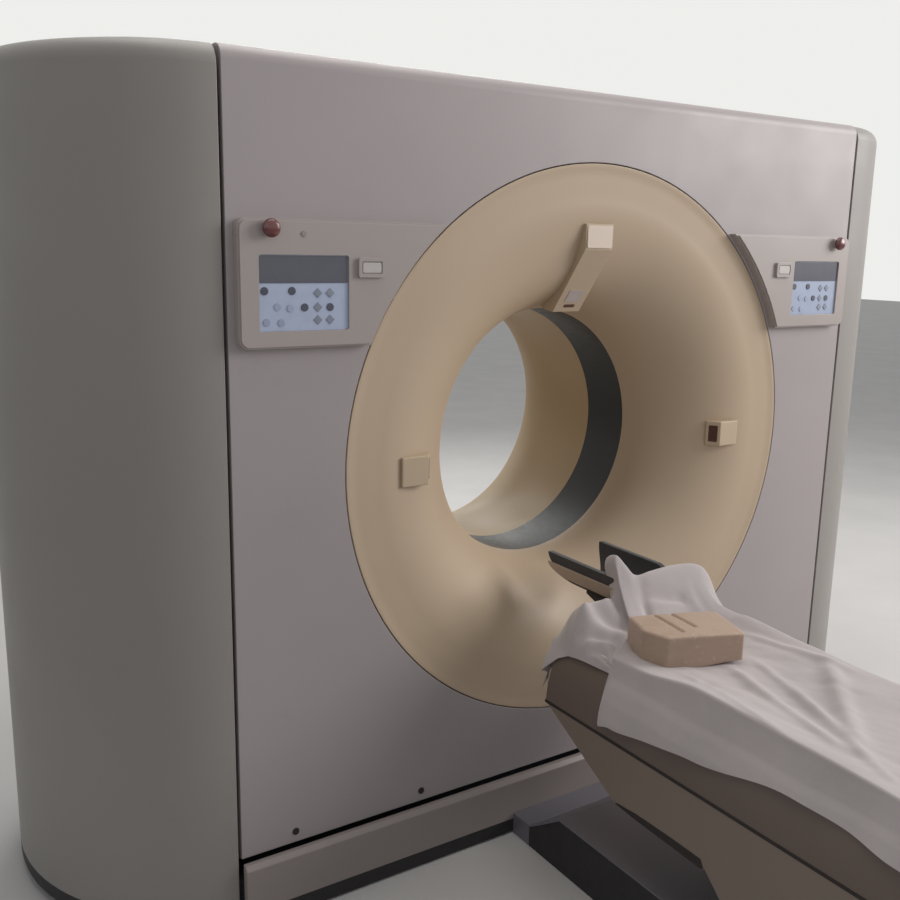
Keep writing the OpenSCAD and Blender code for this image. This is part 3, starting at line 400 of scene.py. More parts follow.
def prism(ring, step):
    """A solid whose flat end is a ring of points, carried along a step."""
    bm = bmesh.new()
    face = bm.faces.new([bm.verts.new(point) for point in ring])
    out = bmesh.ops.extrude_face_region(bm, geom=[face])
    moved = [v for v in out["geom"] if isinstance(v, bmesh.types.BMVert)]
    bmesh.ops.translate(bm, verts=moved, vec=step)
    return bm


# Height up to which these pieces are dark at the foot: partly the dark kick strip, partly painted shadow along the
# floor
FOOT = {"left_side_cover": 0.056, "right_side_cover": 0.056, "front_skirt": 0.042, "rear_skirt": 0.042}


def darken_foot(bm, height):
    """Cuts the mesh at a height and gives the faces below it the second material, a dark foot that is partly
    painted shadow.
    """
    everything = [*bm.verts, *bm.edges, *bm.faces]
    bmesh.ops.bisect_plane(bm, geom=everything, plane_co=(0, 0, height), plane_no=(0, 0, 1))
    for face in bm.faces:
        face.material_index = 1 if face.calc_center_median().z < height else 0


# Points closer than this are joined, and faces that turn by fewer degrees become one flat face
WELD = 0.00002
FLAT_TURN = 0.6


def dressed(node, edge):
    """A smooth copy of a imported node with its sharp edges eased, in place of the node."""
    mesh = NODES[node].data.copy()
    bm = bmesh.new()
    bm.from_mesh(mesh)
    bmesh.ops.remove_doubles(bm, verts=bm.verts, dist=WELD)
    bmesh.ops.dissolve_limit(bm, angle_limit=math.radians(FLAT_TURN), verts=bm.verts, edges=bm.edges)
    if node in FOOT:
        mesh.materials.append(M["kick"])
        darken_foot(bm, FOOT[node])
    bm.to_mesh(mesh)
    bm.free()
    obj = eased_edges(linked(node + "_dressed", mesh), edge, segments=3, turn=32)
    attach(obj, BODY_OF[node])
    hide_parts(node)


# Width of the eased edge on each moulded part
EDGES = {
    "left_side_cover": 0.002, "right_side_cover": 0.002, "front_cover": 0.0015, "rear_cover": 0.0015,
    "rear_funnel": 0.001, "top_cover": 0.001, "front_skirt": 0.002, "rear_skirt": 0.002,
    "floor_duct": 0.002, "plinth_cover": 0.002, "table_lower_cover": 0.0018, "table_upper_cover": 0.001,
    "left_control_panel": 0.0015, "right_control_panel": 0.0015, "cradle": 0.0015,
    "top_laser_housing": 0.003, "side_laser_boxes": 0.003,
    "left_stop_button": 0.001, "right_stop_button": 0.001,
}
for node, edge in EDGES.items():
    dressed(node, edge)


class Tree:
    """A geometry node tree under construction, with named inputs for its sizes."""

    def __init__(self, name, sizes):
        self.group = bpy.data.node_groups.new(name, "GeometryNodeTree")
        face = self.group.interface
        face.new_socket("Geometry", in_out="INPUT", socket_type="NodeSocketGeometry")
        face.new_socket("Geometry", in_out="OUTPUT", socket_type="NodeSocketGeometry")
        self.sizes = sizes
        for key in sizes:
            face.new_socket(key, in_out="INPUT", socket_type="NodeSocketFloat")
        self.start = self.group.nodes.new("NodeGroupInput")
        self.end = self.group.nodes.new("NodeGroupOutput")

    def node(self, kind, inputs=(), **settings):
        return wired(self.group, kind, inputs, **settings)

    def math(self, operation, a, b=0.0):
        return self.node("ShaderNodeMath", {0: a, 1: b}, operation=operation).outputs[0]

    def span(self, value, low, high, a, b):
        made = self.node("ShaderNodeMapRange", {"Value": value, "From Min": low, "From Max": high,
                                                "To Min": a, "To Max": b}, clamp=True)
        return made.outputs["Result"]

    def size(self, key):
        return self.start.outputs[key]

    def grow(self, name, base, geometry, finish):
        """Ends the tree, runs it on a base mesh and returns the plain result as an object."""
        solid = self.node("GeometryNodeRealizeInstances", {"Geometry": geometry})
        painted = self.node("GeometryNodeSetMaterial", {"Geometry": solid.outputs[0], "Material": M[finish]})
        self.group.links.new(painted.outputs[0], self.end.inputs[0])
        obj = linked(name, base)
        grown = obj.modifiers.new("grown", "NODES")
        grown.node_group = self.group
        for item in self.group.interface.items_tree:
            if item.in_out == "INPUT" and item.name in self.sizes:
                grown[item.identifier] = float(self.sizes[item.name])
        return settle(obj)


# The funnel's flat rim and its mouth, and the share of the surface that the rim takes
RIM_R = 0.722
MOUTH_R = 0.640
RIM_DEPTH = 0.008
RIM_SHARE = 0.12
FUNNEL_WALL = 0.0045


def funnel_piece():
    """The front funnel: a flat rim, then a quarter ellipse down to the bore."""
    t = Tree("funnel surface", {"Rim radius": RIM_R, "Mouth radius": MOUTH_R, "Bore radius": BORE_R,
                                "Rim depth": RIM_DEPTH, "Throat": WINDOW_Y,
                                "Depth": -FRONT_Y - RIM_DEPTH - WINDOW_Y, "Axis height": AXIS_Z})
    grid = t.node("GeometryNodeMeshGrid", {"Size X": 1.0, "Size Y": 1.0, "Vertices X": 257, "Vertices Y": 65})
    place = t.node("ShaderNodeSeparateXYZ", {0: t.node("GeometryNodeInputPosition").outputs[0]})
    turn = t.span(place.outputs["X"], -0.5, 0.5, 0.0, 2 * math.pi)
    along = t.math("ADD", place.outputs["Y"], 0.5)
    flat = t.span(along, 0.0, RIM_SHARE, 0.0, 1.0)
    bend = t.span(along, RIM_SHARE, 1.0, 0.0, math.pi / 2)
    rim = t.math("SUBTRACT", t.size("Rim radius"),
                 t.math("MULTIPLY", flat, t.math("SUBTRACT", t.size("Rim radius"), t.size("Mouth radius"))))
    reach = t.math("SUBTRACT", t.size("Mouth radius"), t.size("Bore radius"))
    radius = t.math("SUBTRACT", rim, t.math("MULTIPLY", reach, t.math("SINE", bend)))
    depth = t.math("ADD", t.size("Throat"), t.math("MULTIPLY", t.size("Depth"), t.math("COSINE", bend)))
    edge = t.math("ADD", t.span(flat, 0.05, 0.20, 0.5, 0.0), t.span(flat, 0.20, 1.0, 0.5, 0.0))
    lip = t.math("MULTIPLY", t.size("Rim depth"), edge)
    y = t.math("MULTIPLY", t.math("ADD", depth, lip), -1.0)
    x = t.math("MULTIPLY", radius, t.math("SINE", turn))
    z = t.math("ADD", t.size("Axis height"), t.math("MULTIPLY", radius, t.math("COSINE", turn)))
    spot = t.node("ShaderNodeCombineXYZ", {"X": x, "Y": y, "Z": z})
    bent = t.node("GeometryNodeSetPosition", {"Geometry": grid.outputs["Mesh"], "Position": spot.outputs[0]})
    closed = t.node("GeometryNodeMergeByDistance", {"Geometry": bent.outputs[0], "Distance": 0.0001})
    obj = t.grow("front_funnel_skin", bpy.data.meshes.new("front_funnel_skin"), closed.outputs[0], "cream")
    if sum(f.normal.y for f in obj.data.polygons) > 0:
        obj.data.flip_normals()
    wall = obj.modifiers.new("wall", "SOLIDIFY")
    wall.thickness = FUNNEL_WALL
    wall.offset = -1.0
    eased_edges(obj, 0.0015, segments=3, turn=50, smooth=40, flat=False)
    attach(obj, "tilting_gantry")
    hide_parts("front_funnel")


funnel_piece()


def studs(name, places, radius, height, finish, body, sides=24):
    """Small flat heads set on given points, all alike, with their axis along Y."""
    base = bpy.data.meshes.new(name)
    base.from_pydata([Vector(p) for p in places], [], [])
    t = Tree(name + " tree", {"Radius": radius, "Height": height})
    head = t.node("GeometryNodeMeshCylinder", {"Vertices": sides, "Radius": t.size("Radius"),
                                               "Depth": t.size("Height")})
    spots = t.node("GeometryNodeMeshToPoints", {"Mesh": t.start.outputs["Geometry"]})
    set_out = t.node("GeometryNodeInstanceOnPoints", {"Points": spots.outputs[0],
                                                      "Instance": head.outputs["Mesh"],
                                                      "Rotation": (math.pi / 2, 0.0, 0.0)})
    obj = t.grow(name, base, set_out.outputs[0], finish)
    eased_edges(obj, min(radius, height) * 0.3)
    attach(obj, body)


def plate(name, x, z, y, thick, finish, body, corner=0.003, edge=0.0008, place=None):
    """A thin plate with rounded corners that lies in front of the plane y, or is placed by a matrix."""
    steps = 6
    ring = []
    for cx, cz, start in ((x[1] - corner, z[1] - corner, 0), (x[0] + corner, z[1] - corner, 90),
                          (x[0] + corner, z[0] + corner, 180), (x[1] - corner, z[0] + corner, 270)):
        for i in range(steps + 1):
            a = math.radians(start + 90 * i / steps)
            ring.append((cx + corner * math.cos(a), y, cz + corner * math.sin(a)))
    bm = prism(ring, (0, -thick, 0))
    if place is not None:
        bmesh.ops.transform(bm, matrix=place, verts=bm.verts)
    eased_edges(piece(name, mesh_of(bm, name), finish, body), edge)


# Keys on the display's film, as shares of its width and height from its lower left corner
DARK_KEYS = ((0.06, 0.53), (0.36, 0.53), (0.50, 0.31), (0.79, 0.31))
GREY_KEYS = ((0.65, 0.31), (0.65, 0.50), (0.79, 0.50), (0.65, 0.14), (0.79, 0.14))
PALE_KEYS = ((0.08, 0.12), (0.24, 0.11), (0.20, 0.32), (0.34, 0.30))
# The display strip above them
STRIP_RIM = 0.0012
STRIP_HEIGHT = 0.0565


def panel_details(name):
    """Display strip and keys on the film of one control panel."""
    low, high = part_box(name + "_display")
    top = high.z - STRIP_RIM
    plate(name + "_display_glass", (low.x + STRIP_RIM, high.x - STRIP_RIM), (top - STRIP_HEIGHT, top), low.y,
          0.0012, "lcd", "tilting_gantry")
    for what, keys, radius, sides in (("dark", DARK_KEYS, 0.0085, 24), ("grey", GREY_KEYS, 0.0105, 4),
                                      ("pale", PALE_KEYS, 0.0080, 24)):
        spots = []
        for u, v in keys:
            spots.append((low.x + u * (high.x - low.x), low.y - 0.0004, low.z + v * (high.z - low.z)))
        studs(name + "_" + what + "_keys", spots, radius, 0.0028, "key " + what, "tilting_gantry", sides)


# The plate on each key box, the lamp on the left panel and the tab on the funnel's rim
KEY_X = (0.652, 0.697)
KEY_Z = (1.489, 1.511)
KEY_FLOOR_Y = -0.373
LAMP_AT = (-0.831, -0.3685, 1.568)
TAB_X = (-0.609, -0.602)
TAB_Z = (1.432, 1.459)
for name, s in SIDES:
    panel_details(name)
    plate(name + "_key_plate", sorted((s * KEY_X[0], s * KEY_X[1])), KEY_Z, KEY_FLOOR_Y, 0.0025, "white",
          "tilting_gantry")
studs("left_panel_lamp", [LAMP_AT], 0.006, 0.003, "skirt", "tilting_gantry")
plate("funnel_rim_tab", TAB_X, TAB_Z, FRONT_Y, 0.002, "white", "tilting_gantry", corner=0.002, edge=0.0005)

# The top laser housing: its end face, and where its slope starts and how far it runs, as y and height over
# the axis. Then the sloped face of the side boxes: its middle and its run, as x and y
END_HALF_X = 0.041
END_Z = (0.516, 0.572)
SLOPE_FROM = (-0.336, 0.512)
SLOPE_RUN = (0.1225, 0.164)
SIDE_FACE_AT = (0.489, -0.318, -0.010)
SIDE_FACE_RUN = (36, 22)


def laser_details():
    """Light end face and window of the top housing, and the dark windows of the side boxes."""
    plate("top_laser_end_plate", (-END_HALF_X, END_HALF_X), (AXIS_Z + END_Z[0], AXIS_Z + END_Z[1]),
          FRONT_Y + 0.0055, 0.0018, "white cream", "tilting_gantry", corner=0.004)
    slope = Matrix.Rotation(math.atan2(*SLOPE_RUN), 4, "X")
    for name, along, half_x, half_z, finish in (("top_laser_window", 0.74, 0.024, 0.020, "laser"),
                                                ("top_laser_slot", 0.90, 0.018, 0.005, "aperture")):
        spot = (0.0, SLOPE_FROM[0] + SLOPE_RUN[0] * along, AXIS_Z + SLOPE_FROM[1] - SLOPE_RUN[1] * along)
        plate(name, (-half_x, half_x), (-half_z, half_z), 0.0, 0.0015, finish, "tilting_gantry",
              place=Matrix.Translation(spot) @ slope)
    x, y, up = SIDE_FACE_AT
    for name, s in SIDES:
        turn = Matrix.Rotation(s * -math.atan2(*SIDE_FACE_RUN), 4, "Z")
        plate(name + "_laser_window", (-0.013, 0.013), (-0.024, 0.024), 0.0, 0.0012, "aperture",
              "tilting_gantry", place=Matrix.Translation((s * x, y, AXIS_Z + up)) @ turn)


laser_details()


def extruded(name, outline, x, finish, body, edge=0.0006, foot=None, flat=True):
    """A side profile of (y, z) points, carried from x[0] to x[1], with eased edges."""
    bm = prism([(x[0], y, z) for y, z in outline], (x[1] - x[0], 0, 0))
    if foot is not None:
        darken_foot(bm, foot)
    obj = piece(name, mesh_of(bm, name), finish, body)
    if foot is not None:
        obj.data.materials.append(M["kick"])
    return eased_edges(obj, edge, flat=flat)


# Dark strip in the seam of the table's covers, and the side profile of the dark strips under its belly: both are
# painted shade, of the seam's gap and of the gap under the lower cover's edge
SEAM_GAP = 0.003
SEAM_STRIP_HEIGHT = 0.0075
SEAM_STRIP_PROUD = 0.0010
SEAM_STRIP_DEPTH = 0.002
EDGE_STRIP_X = (0.2685, 0.2714)
EDGE_STRIP = [(-0.790, 0.3145), (-0.860, 0.3095), (-1.052, 0.3030), (-1.0575, 0.3080), (-1.049, 0.3235),
         (-0.96, 0.3250), (-0.86, 0.3240), (-0.797, 0.3185)]


def table_trim():
    """Dark strip along the seam of the table's covers, and dark strips under the long sides: painted shade of the
    gaps there.
    """
    low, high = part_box("table_lower_cover")
    z = high.z + SEAM_GAP / 2
    bm = bmesh.new()
    rows = []
    for grow, up in ((SEAM_STRIP_PROUD, -0.5), (SEAM_STRIP_PROUD, 0.5), (-SEAM_STRIP_DEPTH, 0.5), (-SEAM_STRIP_DEPTH, -0.5)):
        near, far = low.y - min(grow, 0.0), high.y + grow
        corners = ((-1, near), (1, near), (1, far), (-1, far))
        rows.append([bm.verts.new((s * (high.x + grow), y, z + up * SEAM_STRIP_HEIGHT)) for s, y in corners])
    for a, b in zip(rows, rows[1:] + rows[:1]):
        for i in range(4):
            j = (i + 1) % 4
            bm.faces.new((a[i], a[j], b[j], b[i]))
    piece("table_seam_shade_strip", mesh_of(bm, "table_seam_shade_strip"), "shade_strip", "table_top")
    for name, s in SIDES:
        x = sorted((s * EDGE_STRIP_X[0], s * EDGE_STRIP_X[1]))
        extruded("table_" + name + "_edge_shade_strip", EDGE_STRIP, x, "shade_strip", "table_top")


table_trim()


def skirt_ends():
    """Closed ends of the front skirt."""
    low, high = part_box("front_skirt")
    proud, inside, slope, depth, trim = 0.0005, 0.006, 0.010, 0.0225, 0.001
    front, back = low.y + proud, low.y + depth
    bottom, top = low.z + trim, high.z - trim
    outline = [(front, bottom), (front, top - slope), (low.y + slope, top), (back, top), (back, bottom)]
    for name, s in SIDES:
        x = sorted((s * (high.x - inside), s * (high.x - proud)))
        extruded(name + "_skirt_end", outline, x, "skirt", BODY_OF["front_skirt"], foot=FOOT["front_skirt"])


skirt_ends()

SCREW_Z = 0.193
SCREWS_X = (0.858, 0.514)
studs("front_cover_screws", [(s * x, FRONT_Y - 0.001, SCREW_Z) for s in (-1, 1) for x in SCREWS_X],
      0.0085, 0.004, "screw", "tilting_gantry")

# Head holder: its axis and ends, how far the bottom of its front end is cut back, the rounded corner of
# its far wall, and the height below which its shell is dark
HOLDER_R = 0.104
HOLDER_Z = 0.757
HOLDER_Y = (-0.562, -0.300)
HOLDER_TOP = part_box("head_holder")[1].z
HOLDER_RAKE = 0.11
FAR_CORNER = 0.036
KEEL_Z = 0.684
SHELL_WALL = 0.006
SHELL_DROP = 0.026
LINING_WALL = 0.016


def holder_part(name, r_out, r_in, top, finish):
    """A half-round trough about the holder's axis, its front end raked back at the bottom."""
    rows, cols = 28, 48
    bm = bmesh.new()

    def front_end(r):
        limit = math.acos(clamped((HOLDER_Z - top) / r, -1.0))
        points = []
        for i in range(cols + 1):
            a = -limit + 2 * limit * i / cols
            z = HOLDER_Z - r * math.cos(a)
            share = (top - z) / (top - (HOLDER_Z - r_out))
            points.append(Vector((r * math.sin(a), HOLDER_Y[1] - HOLDER_RAKE * share ** 2, z)))
        return points

    def rear_y(x, z):
        t = clamped((z - (top - FAR_CORNER)) / FAR_CORNER)
        return HOLDER_Y[0] + (FAR_CORNER * (1 - math.sqrt(1 - t * t)) if x > 0 else 0.0)

    def wall(r):
        start = front_end(r)
        grid = []
        for k in range(rows + 1):
            f = k / rows
            grid.append([bm.verts.new((p.x, p.y + (rear_y(p.x, p.z) - p.y) * f, p.z)) for p in start])
        return grid

    outer, inner = wall(r_out), wall(r_in)
    for k in range(rows):
        for i in range(cols):
            bm.faces.new((outer[k][i], outer[k][i + 1], outer[k + 1][i + 1], outer[k + 1][i]))
            bm.faces.new((inner[k][i], inner[k + 1][i], inner[k + 1][i + 1], inner[k][i + 1]))
        for i in (0, cols):
            bm.faces.new((outer[k][i], outer[k + 1][i], inner[k + 1][i], inner[k][i]))
    for k in (0, rows):
        for i in range(cols):
            bm.faces.new((outer[k][i], inner[k][i], inner[k][i + 1], outer[k][i + 1]))
    obj = piece(name, mesh_of(bm, name), finish, "cradle")
    if finish == "holder":
        obj.data.materials.append(M["kick"])
        for face in obj.data.polygons:
            face.material_index = 1 if face.center.z < KEEL_Z else 0
    eased_edges(obj, 0.003, segments=3, turn=45, flat=False)


LINING_R = HOLDER_R - SHELL_WALL
holder_part("head_holder_shell", HOLDER_R, LINING_R, HOLDER_TOP - SHELL_DROP, "holder")
holder_part("head_holder_lining", LINING_R, LINING_R - LINING_WALL, HOLDER_TOP, "lining")

BRACKET_X = 0.06


def holder_bracket():
    """The dark bracket under the trough, down to the cradle."""
    foot_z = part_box("head_holder")[0].z
    rear = HOLDER_Y[0] - 0.024
    side = [(rear, foot_z), (-0.500, foot_z), (-0.482, 0.640), (-0.418, 0.662), (-0.418, 0.672),
            (HOLDER_Y[0] - 0.002, 0.668), (rear, 0.650)]
    obj = extruded("head_holder_bracket", side, (-BRACKET_X, BRACKET_X), "kick", "cradle", 0.003, flat=False)
    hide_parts("head_holder")


holder_bracket()

# Foam pad: its outline, how much of its height the underside rises at the right end, its crown and its slits
PAD_CENTRE = Vector((-0.060, -0.770))
PAD_TURN = math.radians(-21)
PAD_SIZE = (0.230, 0.150)
PAD_TRIM = 0.002
PAD_CUT = 0.052
PAD_LIFT = 0.18
PAD_CROWN = 0.0035
PAD_SINK = 0.0015
PAD_GROOVES = (((-0.083, -0.693), (-0.101, -0.801)), ((-0.042, -0.698), (-0.054, -0.794)))
GROOVE_DEPTH = 0.007
GROOVE_WIDTH = 0.0035


def foam_pad():
    """A firm foam block with one cut corner, eased edges, a slight crown and two slits on top."""
    low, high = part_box("positioning_pad")
    height = high.z - low.z
    w, d = PAD_SIZE[0] / 2 - PAD_TRIM, PAD_SIZE[1] / 2 - PAD_TRIM
    outline = [(-w, -d + PAD_CUT), (-w + PAD_CUT * 0.7, -d), (w, -d), (w, d), (-w, d)]
    turn = Matrix.Rotation(PAD_TURN, 2)
    back = turn.inverted()
    bm = prism([(*(turn @ Vector(p) + PAD_CENTRE), low.z) for p in outline], (0, 0, height))
    obj = piece("positioning_pad_foam", mesh_of(bm, "positioning_pad_foam"), "pad", "cradle")
    remesh = obj.modifiers.new("fine", "REMESH")
    remesh.mode = "VOXEL"
    remesh.voxel_size = 0.003
    ease = obj.modifiers.new("ease", "SMOOTH")
    ease.iterations = 9
    ease.factor = 0.6
    settle(obj)
    slits = [(Vector(a), Vector(b) - Vector(a)) for a, b in PAD_GROOVES]
    for v in obj.data.vertices:
        spot = Vector((v.co.x, v.co.y))
        local = spot - PAD_CENTRE
        end = clamped((back @ local).x / w * 0.75 + 0.25)
        v.co.z = high.z - (high.z - v.co.z) * (1 - PAD_LIFT * end * end * (3 - 2 * end))
        far = max(abs(local.x) / 0.13, abs(local.y) / 0.12)
        share = (v.co.z - low.z) / height
        v.co.z += PAD_CROWN * share * max(0.0, 1 - far * far) - PAD_SINK * share
        if share > 0.9:
            for start, run in slits:
                nearest = start + run * clamped((spot - start).dot(run) / run.length_squared)
                v.co.z -= GROOVE_DEPTH * math.exp(-((spot - nearest).length / GROOVE_WIDTH) ** 2)
    smooth_by_angle(obj, 60)
    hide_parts("positioning_pad")


foam_pad()


def eased(stops, at):
    """A value on a chain of (place, value) stops in rising order, eased between them."""
    if at <= stops[0][0]:
        return stops[0][1]
    for (p, v), (q, w) in zip(stops, stops[1:]):
        if at <= q:
            f = (at - p) / (q - p)
            return v + (w - v) * f * f * (3 - 2 * f)
    return stops[-1][1]


def curve(stops, at):
    """A smooth curve through (place, value, ...) stops in rising order; gives the values at a place."""
    last = len(stops) - 1
    k = 0
    while k < last - 1 and at > stops[k + 1][0]:
        k += 1
    before, here, after, beyond = (stops[clamped(k + i, 0, last)] for i in (-1, 0, 1, 2))
    t = clamped((at - here[0]) / (after[0] - here[0]))
    out = []
    for a, b, c, d in zip(before[1:], here[1:], after[1:], beyond[1:]):
        out.append(b + 0.5 * t * (c - a + t * (2 * a - 5 * b + 4 * c - d + t * (3 * (b - c) + d - a))))
    return out


# Half width of the table's shoulders and the cradle's edge at a height, and how far outside it the flaps hang
SHOULDER = [(0.458, 0.270), (0.500, 0.266), (0.540, 0.256), (0.572, 0.242), (0.588, 0.232), (0.606, 0.226),
            (0.630, 0.219), (0.660, 0.212)]
FLAP_GAP = 0.005
# The drape's lines, as distance in front of the scan plane and height
NEAR_HEM = [(0.715, 0.476), (0.771, 0.492), (1.01, 0.524), (1.246, 0.560), (1.6, 0.535), (2.0, 0.552),
            (2.36, 0.530)]
NEAR_FOLD = [(0.60, 0.628), (0.70, 0.628), (0.793, 0.630), (0.97, 0.652), (1.22, 0.646), (1.6, 0.634),
             (2.36, 0.630)]
FAR_FOLD = [(0.575, 0.650), (0.716, 0.645), (0.894, 0.634), (1.06, 0.626), (1.3, 0.628), (2.36, 0.626)]
FAR_HEM = [(0.62, 0.600), (0.70, 0.530), (1.0, 0.505), (1.6, 0.530), (2.36, 0.515)]
# Height of the cloth along the middle of the bed, and the least that it may have there
MIDDLE = 0.6205
BED_FLOOR = 0.6165
# The shares of the cloth's width that are flap, and where the near flap's corner starts to hang, with its
# height while it is folded up and the slant of its edge
NEAR_FLAP = 0.24
FAR_FLAP = 0.80
CORNER = (0.714, 0.724)
CORNER_LAP = 0.034
CORNER_SLANT = 0.012
# The crest over the holder's end, from the near hem across: share of the width, x, y, z
CREST = [(0.00, -0.243, -0.575, 0.584), (0.05, -0.233, -0.575, 0.644), (0.09, -0.208, -0.573, 0.706),
         (0.14, -0.178, -0.574, 0.708), (0.20, -0.138, -0.576, 0.710), (0.245, -0.106, -0.577, 0.712),
         (0.275, -0.097, -0.577, 0.752), (0.305, -0.104, -0.567, 0.795), (0.335, -0.094, -0.562, 0.812),
         (0.37, -0.072, -0.572, 0.786), (0.42, -0.042, -0.578, 0.757), (0.50, 0.012, -0.577, 0.758),
         (0.60, 0.082, -0.575, 0.760), (0.75, 0.158, -0.575, 0.753), (0.84, 0.202, -0.578, 0.732),
         (0.93, 0.230, -0.580, 0.690), (1.00, 0.242, -0.585, 0.640)]
CREST_Y = -0.577
# How much the crest still lifts the cloth, and still spreads it, at a distance in front of the scan plane
RISE = [(0.570, 1.0), (0.578, 1.0), (0.600, 0.60), (0.618, 0.36), (0.645, 0.15), (0.690, 0.0), (0.720, 0.0)]
SPREAD = [(0.570, 1.0), (0.640, 0.96), (0.712, 0.0)]
# The table's cover, with room for the cradle's travel: the cloth that falls beside it hangs outside
COVER_SIDE_X = -0.2
COVER_END_Y = -0.500
COVER_TOP_Z = 0.602
# Creases on the bed, each from one point of the plan to another, with half width and height
CREASES = (((-0.150, -0.850), (-0.215, -1.180), 0.011, 0.006),
           ((-0.018, -0.870), (-0.140, -1.260), 0.013, 0.009),
           ((0.060, -0.880), (-0.060, -1.180), 0.010, 0.006),
           ((0.195, -0.970), (-0.110, -1.275), 0.020, 0.014),
           ((0.150, -0.760), (0.200, -1.050), 0.012, 0.006),
           ((-0.190, -0.900), (-0.060, -0.980), 0.014, -0.004),
           ((0.030, -1.000), (-0.180, -1.400), 0.012, 0.007),
           ((0.160, -1.250), (-0.020, -1.640), 0.016, 0.009),
           ((-0.150, -1.450), (0.120, -1.560), 0.014, 0.006),
           ((-0.100, -1.700), (0.050, -2.150), 0.014, 0.007),
           ((0.180, -1.750), (0.090, -2.250), 0.013, 0.006))


def crease_lift(x, y):
    """How much the creases raise the cloth over a point of the plan."""
    lift = 0.0
    for (ax, ay), (bx, by), half, height in CREASES:
        dx, dy = bx - ax, by - ay
        t = clamped(((x - ax) * dx + (y - ay) * dy) / (dx * dx + dy * dy))
        gap = math.hypot(x - ax - dx * t, y - ay - dy * t)
        ends = min(1.0, 5 * min(t, 1 - t) + 0.25)
        lift += height * ends * math.exp(-(gap / half) ** 2)
    return lift


BED_RIPPLE = 0.006
HEAD_RIPPLE = 0.003


def ripples(x, y, z):
    """Soft unevenness of the cloth, in three sizes."""
    wide = noise.noise(Vector((x * 5, y * 2.6, 1.0)))
    small = noise.noise(Vector((x * 15 + y * 5, y * 7, z + 4.0)))
    fine = noise.noise(Vector((x * 40 + y * 14, y * 19, 7.0)))
    return wide + 0.5 * small + 0.2 * fine


def half_width(z):
    """How far out a flap hangs at a height."""
    if z <= SHOULDER[0][0]:
        return SHOULDER[0][1] + FLAP_GAP
    for (low, w), (high, v) in zip(SHOULDER, SHOULDER[1:]):
        if z <= high:
            return w + (v - w) * (z - low) / (high - low) + FLAP_GAP
    return SHOULDER[-1][1] + FLAP_GAP


def flap_point(f, y, fold, hem, side):
    """A point on a hanging flap: f runs from 0 at the fold to 1 at the hem."""
    z = fold + (hem - fold) * f
    wave = 0.5 + 0.5 * math.sin(y * 29 + 1.3 * math.sin(y * 8.5) + side)
    swing = wave * eased([(0.70, 0.15), (0.80, 1.0)], -y)
    return Vector((side * (half_width(z) + f * (0.002 + 0.009 * swing)), y, z))


def bed_point(share, y):
    """The drape over the cradle at distance y: near flap, near fold, bed, far fold and far flap."""
    out = -y
    near, far = eased(NEAR_FOLD, out), eased(FAR_FOLD, out)
    if share <= NEAR_FLAP:
        f = 1 - share / NEAR_FLAP
        hanging = eased([(CORNER[0], 0.0), (CORNER[1], 1.0)], out)
        lapped = near - CORNER_LAP
        hem = lapped + (eased(NEAR_HEM, out) - lapped) * hanging
        p = flap_point(f, y, near, hem, -1)
        p.y -= CORNER_SLANT * f * eased([(CORNER[0], 1.0), (0.80, 0.0)], out)
        p.z += (1 - hanging) * 0.006 * math.sin(f * 19) * f
    elif share >= FAR_FLAP:
        p = flap_point((share - FAR_FLAP) / (1 - FAR_FLAP), y, far, eased(FAR_HEM, out), 1)
    else:
        t = (share - NEAR_FLAP) / (FAR_FLAP - NEAR_FLAP)
        x = -half_width(near) + (half_width(near) + half_width(far)) * t
        z = eased([(0.0, near), (0.20, MIDDLE + 0.3 * (near - MIDDLE)), (0.32, MIDDLE), (0.68, MIDDLE),
                   (0.82, MIDDLE + 0.4 * (far - MIDDLE)), (1.0, far)], t)
        bed = eased([(0.0, 0.0), (0.12, 1.0)], t) * eased([(0.88, 1.0), (1.0, 0.0)], t)
        z += BED_RIPPLE * ripples(x, y, 0.0) * bed + max(crease_lift(x, y), -0.003)
        p = Vector((x, y, max(z, BED_FLOOR)))
    return p


# The ridge's pocket, as share of the width and y, and the crease behind the pad
POCKET_AT = (0.435, -0.606)
POCKET_SIZE = 0.022
POCKET_DEPTH = 0.018
CREASE_Y = -0.598
CREASE_WIDTH = 0.0075
CREASE_DEPTH = 0.013


def head_folds(share, y):
    """Creases of the bunched head end: the ridge's pocket, the crease behind the pad and slanting folds."""
    across, along = (share - POCKET_AT[0]) / POCKET_SIZE, (y - POCKET_AT[1]) / POCKET_SIZE
    pocket = -POCKET_DEPTH * math.exp(-across ** 2 - along ** 2)
    behind = eased([(0.42, 0.0), (0.46, 1.0), (0.60, 1.0), (0.66, 0.0)], share)
    off_crease = (y - CREASE_Y + 0.10 * (share - 0.5)) / CREASE_WIDTH
    crease = -CREASE_DEPTH * behind * math.exp(-off_crease ** 2)
    near = eased([(0.03, 0.0), (0.07, 1.0), (0.22, 1.0), (0.27, 0.0)], share)
    fade = eased([(0.577, 1.0), (0.66, 0.7), (0.70, 0.0)], -y)
    slant = 0.007 * near * fade * math.sin(share * 62 + y * 95 + 1.2 * math.sin(y * 60))
    return pocket + crease + slant


